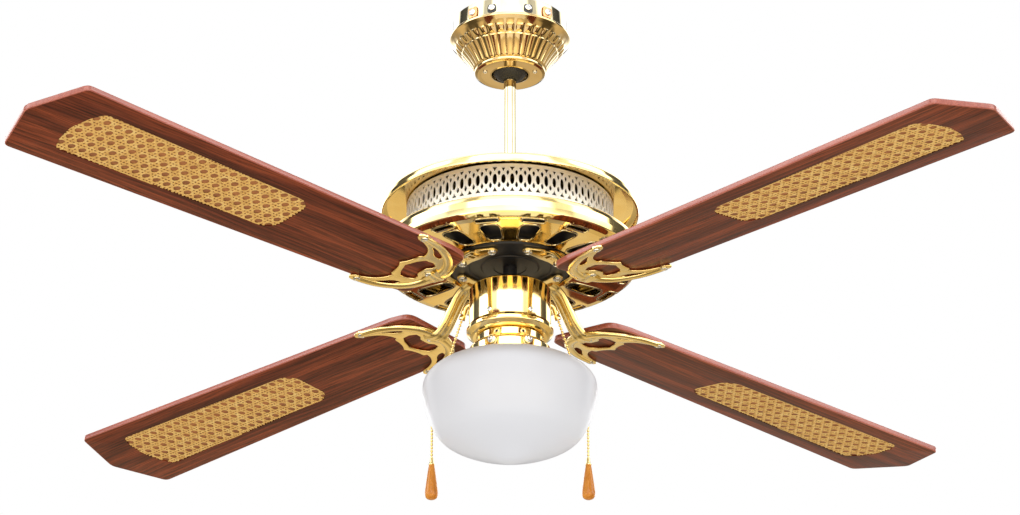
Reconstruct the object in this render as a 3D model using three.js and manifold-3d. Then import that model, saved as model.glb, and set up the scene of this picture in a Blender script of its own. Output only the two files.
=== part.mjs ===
// A four-blade ceiling fan with a light, in polished brass with cane-panelled wooden blades.
// Millimetres, +Z up. The origin is the middle of the face that lies against the ceiling.
import * as THREE from 'three';
import { mergeVertices } from 'three/addons/utils/BufferGeometryUtils.js';
import Module from 'manifold-3d';

const wasm = await Module();
wasm.setup();

// ---- Driving dimensions -------------------------------------------------------------------

const GAP = 0.3; // left between pieces that touch
const SHEET = 1.4; // thickness of the pressed brass sheet
const ROUND = 30; // sides of a large turned piece
const SMALL_ROUND = 20; // sides of a small turned piece
const HOLE_SIDES = 8;
const SCREW_HOLE_RADIUS = 2.4;

const BLADE_COUNT = 4;
const BLADE_TIP_RADIUS = 660;
const BLADE_CORNER_RADIUS = 635; // from the fan's axis to the square corners of a blade
const BLADE_ROOT_RADIUS = 108;
const BLADE_TIP_WIDTH = 130;
const BLADE_ROOT_WIDTH = 100;
const BLADE_THICKNESS = 6;
const BLADE_PITCH = THREE.MathUtils.degToRad(6.5);
const BLADE_PLANE_Z = -336;

const CANE_INNER_RADIUS = 313;
const CANE_OUTER_RADIUS = 604;
const CANE_THICKNESS = 1.2;
const CANE_POCKET = 1.5; // depth of the pocket under the blade

const COLLAR_RADIUS = 62;
const COLLAR_BOTTOM_Z = -24;
const COLLAR_SCREW_Z = -12;
const CANOPY_RIM_RADIUS = 65.4;
const CANOPY_RIM_Z = -19.5;
const CANOPY_FOOT_RADIUS = 36.5;
const CANOPY_FOOT_Z = -61.5;
const CANOPY_HOLE_RADIUS = 20.3;

const BALL_RADIUS = 22;
const BALL_Z = -50;
const BALL_TOP_Z = -41;
const SEAT_PLAY = 0.9; // between the ball and its seat, so that the flats of one clear the other
const ROD_RADIUS = 6.7;
const ROD_TOP_Z = -30;
const ROD_BOTTOM_Z = -228;
const BALL_PIN_Z = -38.2;
const COUPLING_PIN_Z = -216.4;
const PIN_RADIUS = 2.5;
const COUPLING_RADIUS = 14;

const HOUSING_RADIUS = 139;
const BAND_RADIUS = 111.5;
const BAND_TOP_Z = -224.8;
const BAND_BOTTOM_Z = -265.8;
const BAND_WINDOWS = 26;
const BAND_WINDOW_Z = -242.5;
const HOUSING_HOLE_RADIUS = 69;
const HOUSING_SECTORS = 16;

const SHAFT_RADIUS = 7.5;
const BEARING_RADIUS = 17.2;
const ROTOR_RADIUS = 100;
const ROTOR_FACE_Z = -296; // the turning face that the blade irons are screwed to
const ROTOR_FACE_RADIUS = 66;

const IRON_THICKNESS = 3.5;
const FOOT_THICKNESS = 2.7;
const FOOT_SCREW_RADIUS = 53.9;
const FOOT_SCREW_ANGLE = THREE.MathUtils.degToRad(24.4);

const SWITCH_CUP_RADIUS = 43.5;
const SWITCH_CUP_TOP_Z = -320.5;
const SWITCH_CUP_BOTTOM_Z = -365;
const FITTER_NECK_RADIUS = 36.5;
const FITTER_LIP_RADIUS = 44.2;
const FITTER_LIP_Z = -404;
const GLOBE_NECK_RADIUS = 41.2;
const GLOBE_RADIUS = 92.3;
const GLOBE_TIP_Z = -519;
const GLASS = 2.6; // thickness of the glass
const THUMBSCREW_Z = -396;

const CHAIN_ANGLE = THREE.MathUtils.degToRad(30); // of both chains behind the left-right line
const CHAIN_RADIUS = 1.6;
const NOZZLE_RADIUS = 3.6;
const NOZZLE_BORE_RADIUS = 2.5;
const CHAIN_MOUTH = [59.5, -343]; // radius and height where a chain leaves its nozzle
const CHAIN_HANG_RADIUS = 96; // where the chain hangs clear of the globe
const CHAIN_BEND_Z = -438;
const CHAIN_END_Z = -499;
const FOB_RADIUS = 7.25;
const FOB_LENGTH = 43;

// ---- Materials ----------------------------------------------------------------------------

const metal = (color, roughness) => new THREE.MeshStandardMaterial({ color, roughness, metalness: 1 });
const plain = (color, roughness) => new THREE.MeshStandardMaterial({ color, roughness, metalness: 0 });

const brass = metal(0xd9b24a, 0.15);
const steel = metal(0xb8babd, 0.35);
const iron = metal(0xe0c078, 0.3);
const black = plain(0x151515, 0.5);
const copper = metal(0xa8622f, 0.4);
const wood = plain(0x5f2f2a, 0.35);
const cane = plain(0xd8ab5e, 0.7);
const opal = plain(0xf2f2f4, 0.2);
const fobWood = plain(0xc8782a, 0.35);
const plastic = plain(0xe8e6e0, 0.5);

// ---- Helpers ------------------------------------------------------------------------------

// Welds a geometry's corners and turns its faces outward.
function closed(geometry) {
  const bare = geometry.index ? geometry.toNonIndexed() : geometry.clone();
  bare.deleteAttribute('normal');
  bare.deleteAttribute('uv');
  const welded = mergeVertices(bare, 1e-3);
  const index = welded.index.array;
  const kept = [];
  for (let i = 0; i < index.length; i += 3) {
    const [a, b, c] = [index[i], index[i + 1], index[i + 2]];
    if (a !== b && b !== c && c !== a) kept.push(a, b, c);
  }
  welded.setIndex(kept);
  if (signedVolume(welded) < 0) {
    for (let i = 0; i < kept.length; i += 3) [kept[i], kept[i + 1]] = [kept[i + 1], kept[i]];
    welded.setIndex(kept);
  }
  return welded;
}

function signedVolume(geometry) {
  const spot = geometry.attributes.position;
  const index = geometry.index.array;
  const [a, b, c] = [new THREE.Vector3(), new THREE.Vector3(), new THREE.Vector3()];
  let total = 0;
  for (let i = 0; i < index.length; i += 3) {
    a.fromBufferAttribute(spot, index[i]);
    b.fromBufferAttribute(spot, index[i + 1]);
    c.fromBufferAttribute(spot, index[i + 2]);
    total += a.dot(b.cross(c)) / 6;
  }
  return total;
}

function toSolid(geometry) {
  const tidy = closed(geometry);
  const vertProperties = new Float32Array(tidy.attributes.position.array);
  const triVerts = new Uint32Array(tidy.index.array);
  return new wasm.Manifold(new wasm.Mesh({ numProp: 3, vertProperties, triVerts }));
}

function toGeometry(solid) {
  const mesh = solid.getMesh();
  const geometry = new THREE.BufferGeometry();
  geometry.setAttribute('position', new THREE.BufferAttribute(mesh.vertProperties, 3));
  geometry.setIndex([...mesh.triVerts]);
  return geometry;
}

function cut(base, tools) {
  return toGeometry(tools.map(toSolid).reduce((solid, tool) => solid.subtract(tool), toSolid(base)));
}

function join(pieces) {
  return toGeometry(pieces.map(toSolid).reduce((whole, piece) => whole.add(piece)));
}

// Turns a profile of [radius, height] points about the Z axis. Without a point on the axis at
// both ends the profile closes on itself, which makes a ring.
function turn(profile, sides = ROUND) {
  const points = profile.map(([radius, height]) => new THREE.Vector2(radius, height));
  const onAxis = profile[0][0] === 0 && profile.at(-1)[0] === 0;
  if (!onAxis) points.push(points[0].clone());
  return closed(new THREE.LatheGeometry(points, sides).rotateX(Math.PI / 2));
}

// The same profile walked back at a distance inside it, for a wall of even thickness.
function wall(outer, thickness) {
  const inner = outer.map(([radius, height], i) => {
    const before = outer[Math.max(i - 1, 0)];
    const after = outer[Math.min(i + 1, outer.length - 1)];
    const along = new THREE.Vector2(after[0] - before[0], after[1] - before[1]).normalize();
    return [Math.max(radius + along.y * thickness, 0), height - along.x * thickness];
  });
  return [...outer, ...inner.reverse()];
}

function outline(points) {
  return new THREE.Shape(points.map(([x, y]) => new THREE.Vector2(x, y)));
}

// A flat piece: its outline pushed up from one height to another.
function plate(points, fromZ, toZ) {
  const options = { depth: toZ - fromZ, bevelEnabled: false };
  return closed(new THREE.ExtrudeGeometry(outline(points), options).translate(0, 0, fromZ));
}

function block(sizeX, sizeY, sizeZ, x, y, z) {
  return new THREE.BoxGeometry(sizeX, sizeY, sizeZ).translate(x, y, z);
}

function rod(radius, fromX, toX, z, sides = 16) {
  const cylinder = new THREE.CylinderGeometry(radius, radius, toX - fromX, sides);
  return cylinder.rotateZ(Math.PI / 2).translate((fromX + toX) / 2, 0, z);
}

// A round bar along a curve, with an optional bore.
function bar(curve, radius, steps, sides = 8, bore = 0) {
  const section = new THREE.Shape().absarc(0, 0, radius, 0, 2 * Math.PI);
  if (bore) section.holes.push(new THREE.Path().absarc(0, 0, bore, 0, 2 * Math.PI, true));
  const options = { steps, extrudePath: curve, bevelEnabled: false, curveSegments: sides / 2 };
  return closed(new THREE.ExtrudeGeometry(section, options));
}

const fan = new THREE.Group();

function add(name, geometry, material, parent = fan) {
  const mesh = new THREE.Mesh(geometry, material);
  mesh.name = name;
  parent.add(mesh);
  return mesh;
}

// A group turned about the fan's axis, so that its +X points out at the given angle.
function spoke(angle, parent = fan) {
  const group = new THREE.Group();
  group.rotation.z = angle;
  parent.add(group);
  return group;
}

// A round-headed screw driven towards the axis along -X, with its head's seat at a radius.
function radialScrew(seatRadius, z, headRadius, shankRadius, length) {
  const profile = [
    [0, -length],
    [shankRadius, -length],
    [shankRadius, GAP],
    [headRadius, GAP],
    [headRadius * 0.9, headRadius * 0.35],
    [headRadius * 0.5, headRadius * 0.6],
    [0, headRadius * 0.68],
  ];
  return turn(profile, 14).rotateY(Math.PI / 2).translate(seatRadius, 0, z);
}

// ---- Ceiling mount ------------------------------------------------------------------------

// Angles about the axis, from degrees measured off the front.
function fromFront(degrees) {
  return degrees.map((angle) => THREE.MathUtils.degToRad(angle - 90));
}

// Cutters for screw holes through a wall, from one radius to another.
function screwHoles(angles, inner, outer, z) {
  return angles.map((angle) => rod(SCREW_HOLE_RADIUS, inner, outer, z, HOLE_SIDES).rotateZ(angle));
}

const collarScrewAngles = fromFront([18.6, -18.6, 161.4, -161.4]);
const canopyScrewAngles = fromFront([40, -40, 140, -140]);

function buildCeilingMount() {
  const rimRadius = COLLAR_RADIUS - SHEET - GAP;
  const rimBottom = -18;
  const plateThickness = 2.5;
  const cupProfile = [
    [0, 0],
    [rimRadius, 0],
    [rimRadius, rimBottom],
    [rimRadius - 2, rimBottom],
    [rimRadius - 2, -plateThickness],
    [0, -plateThickness],
  ];
  const holes = screwHoles([...collarScrewAngles, ...canopyScrewAngles], 50, 66, COLLAR_SCREW_Z);
  const seatTop = -56;
  const seatBottom = -59.5;
  const strapSpread = 25.5;
  const seat = turn([[14, seatTop], [27, seatTop], [27, seatBottom], [14, seatBottom]], SMALL_ROUND);
  const straps = [-1, 1].map((side) => {
    return block(2.5, 22, -seatTop, side * strapSpread, 0, seatTop / 2 - 1);
  });
  const cup = cut(turn(cupProfile), holes);
  const ballRoom = new THREE.SphereGeometry(BALL_RADIUS + SEAT_PLAY, SMALL_ROUND, 12);
  ballRoom.rotateX(Math.PI / 2).translate(0, 0, BALL_Z);
  const wireHole = new THREE.CylinderGeometry(8, 8, 12, 12).rotateX(Math.PI / 2).translate(0, 38, 0);
  add('hanger_bracket', cut(join([cup, seat, ...straps]), [ballRoom, wireHole]), steel);

  const collar = [
    [COLLAR_RADIUS, -GAP],
    [COLLAR_RADIUS, COLLAR_BOTTOM_Z],
    [COLLAR_RADIUS - SHEET, COLLAR_BOTTOM_Z],
    [COLLAR_RADIUS - SHEET, -GAP],
  ];
  add('mounting_collar', cut(turn(collar), holes), brass);

  const bell = [
    [COLLAR_RADIUS + 1.6, CANOPY_RIM_Z],
    [CANOPY_RIM_RADIUS + 0.6, CANOPY_RIM_Z - 1],
    [CANOPY_RIM_RADIUS - 1.2, CANOPY_RIM_Z - 6],
    [51.5, -41],
    [39.5, -57.5],
    [CANOPY_FOOT_RADIUS + 1, CANOPY_FOOT_Z],
    [CANOPY_FOOT_RADIUS - 4, CANOPY_FOOT_Z - 2.5],
    [CANOPY_HOLE_RADIUS, CANOPY_FOOT_Z - 2.5],
  ];
  add('canopy', turn(wall(bell, 1.1)), brass);

  const screw = radialScrew(COLLAR_RADIUS, COLLAR_SCREW_Z, 3.6, 2, 7);
  const tab = block(1.2, 13, 12, COLLAR_RADIUS + 1.1, 0, COLLAR_SCREW_Z);
  const tabbedScrew = join([screw, tab]);
  collarScrewAngles.forEach((angle, i) => {
    add(`collar_screw_${i + 1}`, screw, steel, spoke(angle));
  });
  canopyScrewAngles.forEach((angle, i) => {
    add(`canopy_screw_${i + 1}`, tabbedScrew, copper, spoke(angle));
  });
}

// ---- Downrod ------------------------------------------------------------------------------

function buildDownrod() {
  const steps = 8;
  const ball = [[ROD_RADIUS + GAP, BALL_TOP_Z]];
  const lowest = -Math.acos((ROD_RADIUS + 1) / BALL_RADIUS);
  const highest = Math.asin((BALL_TOP_Z - BALL_Z) / BALL_RADIUS);
  for (let i = 0; i <= steps; i += 1) {
    const angle = highest + ((lowest - highest) * i) / steps;
    ball.push([BALL_RADIUS * Math.cos(angle), BALL_Z + BALL_RADIUS * Math.sin(angle)]);
  }
  ball.push([ROD_RADIUS + GAP, ball.at(-1)[1]]);
  add('hanger_ball', turn(ball, SMALL_ROUND), black);

  const pinHole = (z) => rod(PIN_RADIUS + GAP, -20, 20, z, 12);
  const tube = [
    [ROD_RADIUS, ROD_TOP_Z],
    [ROD_RADIUS, ROD_BOTTOM_Z],
    [ROD_RADIUS - 1.5, ROD_BOTTOM_Z],
    [ROD_RADIUS - 1.5, ROD_TOP_Z],
  ];
  add('downrod', cut(turn(tube, SMALL_ROUND), [pinHole(BALL_PIN_Z), pinHole(COUPLING_PIN_Z)]), brass);
  add('ball_pin', closed(rod(PIN_RADIUS, -15, 15, BALL_PIN_Z, 12)), steel);

  const couplingTop = -212;
  const flangeTop = -225;
  const flangeBottom = -228.5;
  const couplingBottom = -238;
  const coupling = [
    [ROD_RADIUS + GAP, couplingTop],
    [COUPLING_RADIUS, couplingTop],
    [COUPLING_RADIUS, flangeTop],
    [24, flangeTop],
    [24, flangeBottom],
    [COUPLING_RADIUS, flangeBottom],
    [COUPLING_RADIUS, couplingBottom],
    [SHAFT_RADIUS + GAP, couplingBottom],
    [SHAFT_RADIUS + GAP, ROD_BOTTOM_Z - GAP],
    [ROD_RADIUS + GAP, ROD_BOTTOM_Z - GAP],
  ];
  add('motor_coupling', cut(turn(coupling, SMALL_ROUND), [pinHole(COUPLING_PIN_Z)]), steel);
  add('coupling_pin', closed(rod(PIN_RADIUS, -17, 17, COUPLING_PIN_Z, 12)), steel);
}

// ---- Motor and housing --------------------------------------------------------------------

function buildHousing() {
  const top = [
    [COUPLING_RADIUS + 0.4, -220],
    [90, -222],
    [132, -223.5],
    [HOUSING_RADIUS, -226.5],
    [HOUSING_RADIUS - 0.6, -234.5],
  ];
  add('housing_top_cover', turn(wall(top, SHEET)), brass);

  const ring = [
    [BAND_RADIUS, BAND_TOP_Z],
    [BAND_RADIUS, BAND_BOTTOM_Z],
    [BAND_RADIUS - SHEET, BAND_BOTTOM_Z],
    [BAND_RADIUS - SHEET, BAND_TOP_Z],
  ];
  const windows = [];
  for (let i = 0; i < BAND_WINDOWS; i += 1) {
    const window = block(8, 13, 26, BAND_RADIUS, 0, BAND_WINDOW_Z);
    windows.push(window.rotateZ((2 * Math.PI * i) / BAND_WINDOWS));
  }
  add('filigree_band', cut(turn(ring, 2 * BAND_WINDOWS), windows), brass);

  const pan = [
    [BAND_RADIUS - 4, BAND_BOTTOM_Z - 0.6],
    [BAND_RADIUS + 2, BAND_BOTTOM_Z - 1.2],
    [HOUSING_RADIUS - 5, -272.5],
    [HOUSING_RADIUS, -278.5],
    [HOUSING_RADIUS - 1, -291],
    [133, -296.8],
    [HOUSING_HOLE_RADIUS, -295],
  ];
  const vents = [];
  for (let i = 0; i < HOUSING_SECTORS; i += 1) {
    const angle = (2 * Math.PI * (i + 0.5)) / HOUSING_SECTORS;
    vents.push(sector(75, 115, 5.2).rotateZ(angle));
    vents.push(sector(120.5, 129.5, 5.2).rotateZ(angle));
  }
  add('housing_bottom_cover', cut(turn(wall(pan, SHEET)), vents), brass);
}

// A cutter with the plan of a slice of a ring, half as wide as the given degrees each way.
function sector(inner, outer, halfDegrees) {
  const half = THREE.MathUtils.degToRad(halfDegrees);
  const corner = (radius, angle) => [radius * Math.cos(angle), radius * Math.sin(angle)];
  const points = [
    corner(inner, -half),
    corner(outer, -half),
    corner(outer, 0),
    corner(outer, half),
    corner(inner, half),
  ];
  return plate(points, -310, -285);
}

function buildMotor() {
  const seat = BEARING_RADIUS + GAP;
  const shell = [
    [seat, ROTOR_FACE_Z],
    [ROTOR_FACE_RADIUS, ROTOR_FACE_Z],
    [ROTOR_FACE_RADIUS, ROTOR_FACE_Z + 7],
    [ROTOR_RADIUS, -285],
    [ROTOR_RADIUS, -241],
    [seat, -241],
    [seat, -253],
    [22, -253],
    [22, -244],
    [97.5, -244],
    [97.5, -282.5],
    [64, -287],
    [62, -293],
    [22, -293],
    [22, -284],
    [seat, -284],
  ];
  add('rotor_shell', turn(shell), black);

  const bearing = (bottom) => turn([
    [SHAFT_RADIUS + GAP, bottom],
    [BEARING_RADIUS, bottom],
    [BEARING_RADIUS, bottom + 10],
    [SHAFT_RADIUS + GAP, bottom + 10],
  ], SMALL_ROUND);
  add('upper_bearing', bearing(-252), steel);
  add('lower_bearing', bearing(-295.5), steel);

  const stator = [
    [SHAFT_RADIUS + GAP, -258],
    [22, -258],
    [24, -263],
    [57, -263],
    [60, -258],
    [82, -258],
    [85, -261],
    [93, -261],
    [93, -270],
    [85, -270],
    [82, -273],
    [60, -273],
    [57, -268],
    [24, -268],
    [22, -273],
    [SHAFT_RADIUS + GAP, -273],
  ];
  add('motor_stator', turn(stator, 24), copper);

  const shaft = [
    [SHAFT_RADIUS, ROD_BOTTOM_Z - 2 * GAP],
    [SHAFT_RADIUS, SWITCH_CUP_TOP_Z - 8],
    [SHAFT_RADIUS - 2.5, SWITCH_CUP_TOP_Z - 8],
    [SHAFT_RADIUS - 2.5, ROD_BOTTOM_Z - 2 * GAP],
  ];
  add('motor_shaft', turn(shaft, SMALL_ROUND), steel);
}

// ---- Blades and blade irons ---------------------------------------------------------------

// Mirrors a half outline, given from one end of the middle line to the other, onto both sides.
function bothSides(half) {
  const other = half.filter(([, y]) => y !== 0).map(([x, y]) => [x, -y]);
  return [...half, ...other.reverse()];
}

function bladeOutline() {
  const corner = BLADE_TIP_WIDTH / 2;
  const root = BLADE_ROOT_WIDTH / 2;
  return bothSides([
    [BLADE_ROOT_RADIUS, 0],
    [BLADE_ROOT_RADIUS + 1, root - 22],
    [BLADE_ROOT_RADIUS + 7, root - 9],
    [BLADE_ROOT_RADIUS + 18, root - 1],
    [BLADE_ROOT_RADIUS + 30, root + 1],
    [BLADE_CORNER_RADIUS - 8, corner - 0.3],
    [BLADE_CORNER_RADIUS - 1, corner - 2],
    [BLADE_CORNER_RADIUS + 3, corner - 8],
    [BLADE_TIP_RADIUS - 0.4, 4],
    [BLADE_TIP_RADIUS, 0],
  ]);
}

function caneOutline(grow) {
  return bothSides([
    [CANE_INNER_RADIUS - grow, 0],
    [CANE_INNER_RADIUS + 1 - grow, 15],
    [CANE_INNER_RADIUS + 8 - grow, 26 + grow],
    [CANE_INNER_RADIUS + 20, 32 + grow],
    [CANE_OUTER_RADIUS - 26, 40 + grow],
    [CANE_OUTER_RADIUS - 14, 38 + grow],
    [CANE_OUTER_RADIUS - 7 + grow, 31 + grow],
    [CANE_OUTER_RADIUS + grow, 0],
  ]);
}

// The flat, pierced crescent of a blade iron, between two heights.
function buildCrescent(bottom, top) {
  const rim = bothSides([
    [103, 0],
    [104, 9],
    [109, 22],
    [118, 33],
    [131, 43],
    [150, 50],
    [170, 55],
    [181, 56],
    [185, 52],
    [182, 47],
    [168, 43],
    [157, 36],
    [151, 27],
    [151, 20],
    [155, 9],
    [162, 0],
  ]);
  const middle = bothSides([[129, 0], [128, 8], [125, 15], [133, 21], [143, 19], [149, 10], [153, 0]]);
  const arm = [[134, 30], [144, 32], [149, 38], [158, 44], [148, 43], [137, 38]];
  const otherArm = arm.map(([x, y]) => [x, -y]);
  const windows = [middle, arm, otherArm].map((window) => plate(window, bottom - 1, top + 1));
  return cut(plate(rim, bottom, top), windows);
}

// The arm seen from the side: from the foot on the rotor down to the crescent.
function armSide() {
  const footZ = ROTOR_FACE_Z - GAP;
  const plateZ = BLADE_PLANE_Z - BLADE_THICKNESS / 2 - GAP;
  return [
    [56, footZ],
    [68, footZ - 1],
    [80, footZ - 9],
    [93, footZ - 25],
    [103, plateZ + 1.5],
    [110, plateZ - 0.5],
    [124, plateZ - 0.5],
    [124, plateZ - 4],
    [112, plateZ - 5],
    [98, plateZ - 3.5],
    [88, footZ - 30],
    [75, footZ - 14],
    [66, footZ - 6.5],
    [56, footZ - 5],
  ];
}

function buildBladeIron() {
  const top = ROTOR_FACE_Z - GAP;
  const lobeX = FOOT_SCREW_RADIUS * Math.cos(FOOT_SCREW_ANGLE);
  const lobeY = FOOT_SCREW_RADIUS * Math.sin(FOOT_SCREW_ANGLE);
  const foot = plate(bothSides([
    [lobeX - 6, 0],
    [lobeX - 4, lobeY - 8],
    [lobeX - 6, lobeY],
    [lobeX - 3, lobeY + 6],
    [lobeX + 3, lobeY + 6],
    [lobeX + 8, lobeY - 1],
    [lobeX + 13, 11],
    [lobeX + 15, 0],
  ]), top - FOOT_THICKNESS, top);
  const armHalfWidth = 9.5;
  const arm = plate(armSide(), -armHalfWidth, armHalfWidth).rotateX(Math.PI / 2);
  const crescentTop = -BLADE_THICKNESS / 2 - GAP;
  const crescent = buildCrescent(crescentTop - IRON_THICKNESS, crescentTop);
  crescent.rotateX(BLADE_PITCH).translate(0, 0, BLADE_PLANE_Z);
  const bladeRoom = plate(bladeOutline(), crescentTop, 20);
  bladeRoom.rotateX(BLADE_PITCH).translate(0, 0, BLADE_PLANE_Z);
  return cut(join([foot, arm, crescent]), [bladeRoom]);
}

function buildBlades() {
  const half = BLADE_THICKNESS / 2;
  const board = plate(bladeOutline(), -half, half);
  const pocket = plate(caneOutline(GAP), -half - 1, -half + CANE_POCKET);
  const blade = cut(board, [pocket]);
  const panelTop = -half + CANE_POCKET - GAP;
  const panel = plate(caneOutline(0), panelTop - CANE_THICKNESS, panelTop);
  const bladeIron = buildBladeIron();
  for (let i = 0; i < BLADE_COUNT; i += 1) {
    const arm = spoke(Math.PI / 4 + (2 * Math.PI * i) / BLADE_COUNT);
    add(`blade_iron_${i + 1}`, bladeIron, iron, arm);
    const pitched = new THREE.Group();
    pitched.rotation.x = BLADE_PITCH;
    pitched.position.z = BLADE_PLANE_Z;
    arm.add(pitched);
    add(`blade_${i + 1}`, blade, wood, pitched);
    add(`cane_panel_${i + 1}`, panel, cane, pitched);
  }
}

// ---- Switch housing -----------------------------------------------------------------------

const CUP_SCREW_Z = -360;
const cupScrewAngles = fromFront([30, -30, 150, -150]);
const chainAngles = { left: Math.PI - CHAIN_ANGLE, right: CHAIN_ANGLE };

// The chain's straight run out of its nozzle, as a unit step of radius and height.
function chainSlope() {
  const out = CHAIN_HANG_RADIUS - CHAIN_MOUTH[0];
  const down = CHAIN_BEND_Z - CHAIN_MOUTH[1];
  return new THREE.Vector2(out, down).normalize();
}

function chainPoint(radius, z, angle) {
  return new THREE.Vector3(radius * Math.cos(angle), radius * Math.sin(angle), z);
}

function nozzleCurve(angle) {
  const slope = chainSlope();
  const straight = 13;
  const [mouthRadius, mouthZ] = CHAIN_MOUTH;
  const bend = [mouthRadius - slope.x * straight, mouthZ - slope.y * straight];
  const path = new THREE.CurvePath();
  const inner = chainPoint(SWITCH_CUP_RADIUS + GAP, bend[1] + 3.6, angle);
  const knee = chainPoint(bend[0] - slope.x * 3, bend[1] - slope.y * 3, angle);
  path.add(new THREE.QuadraticBezierCurve3(inner, knee, chainPoint(...bend, angle)));
  path.add(new THREE.LineCurve3(chainPoint(...bend, angle), chainPoint(...CHAIN_MOUTH, angle)));
  return path;
}

function buildSwitchHousing() {
  const top = SWITCH_CUP_TOP_Z;
  const bottom = SWITCH_CUP_BOTTOM_Z;
  const cup = [
    [SHAFT_RADIUS + GAP, top],
    [SWITCH_CUP_RADIUS - 2, top],
    [SWITCH_CUP_RADIUS, top - 2],
    [SWITCH_CUP_RADIUS, bottom],
  ];
  const holes = screwHoles(cupScrewAngles, 30, 48, CUP_SCREW_Z);
  const nozzleInletZ = nozzleCurve(0).getPoint(0).z;
  const chainHoles = Object.values(chainAngles).map((angle) => {
    return rod(3, 36, 48, nozzleInletZ, HOLE_SIDES).rotateZ(angle);
  });
  add('switch_housing', cut(turn(wall(cup, SHEET)), [...holes, ...chainHoles]), brass);
  cupScrewAngles.forEach((angle, i) => {
    const screw = radialScrew(SWITCH_CUP_RADIUS, CUP_SCREW_Z, 2.9, 2, 5.5);
    add(`switch_housing_screw_${i + 1}`, screw, steel, spoke(angle));
  });

  const flare = [
    [SWITCH_CUP_RADIUS - SHEET - GAP, bottom + 6],
    [SWITCH_CUP_RADIUS - SHEET - GAP, bottom - GAP],
    [SWITCH_CUP_RADIUS + 1, bottom - GAP],
    [SWITCH_CUP_RADIUS + 3, bottom - 4],
    [SWITCH_CUP_RADIUS + 1.6, bottom - 9],
    [FITTER_NECK_RADIUS + 2, bottom - 13],
    [10, bottom - 13],
  ];
  add('trim_ring', cut(turn(wall(flare, SHEET)), holes), brass);

  const insideZ = -344; // middle height of what the cup holds
  add('fan_switch', block(18, 14, 26, -22, 12, insideZ), plastic);
  add('light_switch', block(18, 14, 26, 22, 12, insideZ), plastic);
  add('capacitor', block(38, 14, 28, 0, -21, insideZ), black);

  Object.entries(chainAngles).forEach(([side, angle]) => {
    const nozzle = bar(nozzleCurve(angle), NOZZLE_RADIUS, 8, 10, NOZZLE_BORE_RADIUS);
    add(`chain_nozzle_${side}`, nozzle, brass);
  });
}

// ---- Light kit ----------------------------------------------------------------------------

const thumbscrewAngles = fromFront([25, -25, 155, -155]);

function buildLightKit() {
  const deck = SWITCH_CUP_BOTTOM_Z - 13 - GAP;
  const fitter = [
    [10, deck],
    [FITTER_NECK_RADIUS, deck],
    [FITTER_NECK_RADIUS, deck - 9],
    [FITTER_LIP_RADIUS, deck - 14],
    [FITTER_LIP_RADIUS, FITTER_LIP_Z],
  ];
  const holes = screwHoles(thumbscrewAngles, 38, 50, THUMBSCREW_Z);
  add('light_fitter', cut(turn(wall(fitter, SHEET)), holes), brass);

  const socketTop = deck - SHEET - GAP;
  const socket = [
    [0, socketTop],
    [17, socketTop],
    [19, socketTop - 4],
    [19, -412],
    [14, -412],
    [14, socketTop - 12],
    [0, socketTop - 12],
  ];
  add('lamp_socket', turn(socket, SMALL_ROUND), plastic);

  const bulb = [
    [0, -392.5],
    [13.4, -394],
    [13.4, -414],
    [17, -420],
    [25, -434],
    [29, -450],
    [28.5, -462],
    [23, -475],
    [13, -483],
    [0, -486],
  ];
  add('light_bulb', turn(bulb, SMALL_ROUND), opal);

  const neckTop = -393;
  const globe = [
    [GLOBE_NECK_RADIUS, neckTop],
    [GLOBE_NECK_RADIUS, -405],
    [60, -410],
    [78, -415.5],
    [89, -424],
    [GLOBE_RADIUS, -434.5],
    [88.5, -459],
    [80.5, -481],
    [66, -494],
    [0, GLOBE_TIP_Z],
  ];
  add('glass_globe', turn(hollowFromTip(globe, GLASS)), opal);

  thumbscrewAngles.forEach((angle, i) => {
    const profile = [
      [0, -2.2],
      [1.9, -2.2],
      [1.9, GAP],
      [4.2, GAP],
      [4.2, 3],
      [2.4, 4.5],
      [2.4, 6.5],
      [0, 6.5],
    ];
    const screw = turn(profile, 14).rotateY(Math.PI / 2).translate(FITTER_LIP_RADIUS, 0, THUMBSCREW_Z);
    add(`thumbscrew_${i + 1}`, screw, steel, spoke(angle));
  });
}

// A wall of even thickness for a bowl whose profile ends on the axis at its lowest point.
function hollowFromTip(outer, thickness) {
  const ring = wall(outer, thickness);
  const middle = outer.length - 1;
  const inside = [0, GLOBE_TIP_Z + thickness * 1.1];
  return [...ring.slice(0, middle + 1), inside, ...ring.slice(middle + 2)];
}

// ---- Pull chains --------------------------------------------------------------------------

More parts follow.
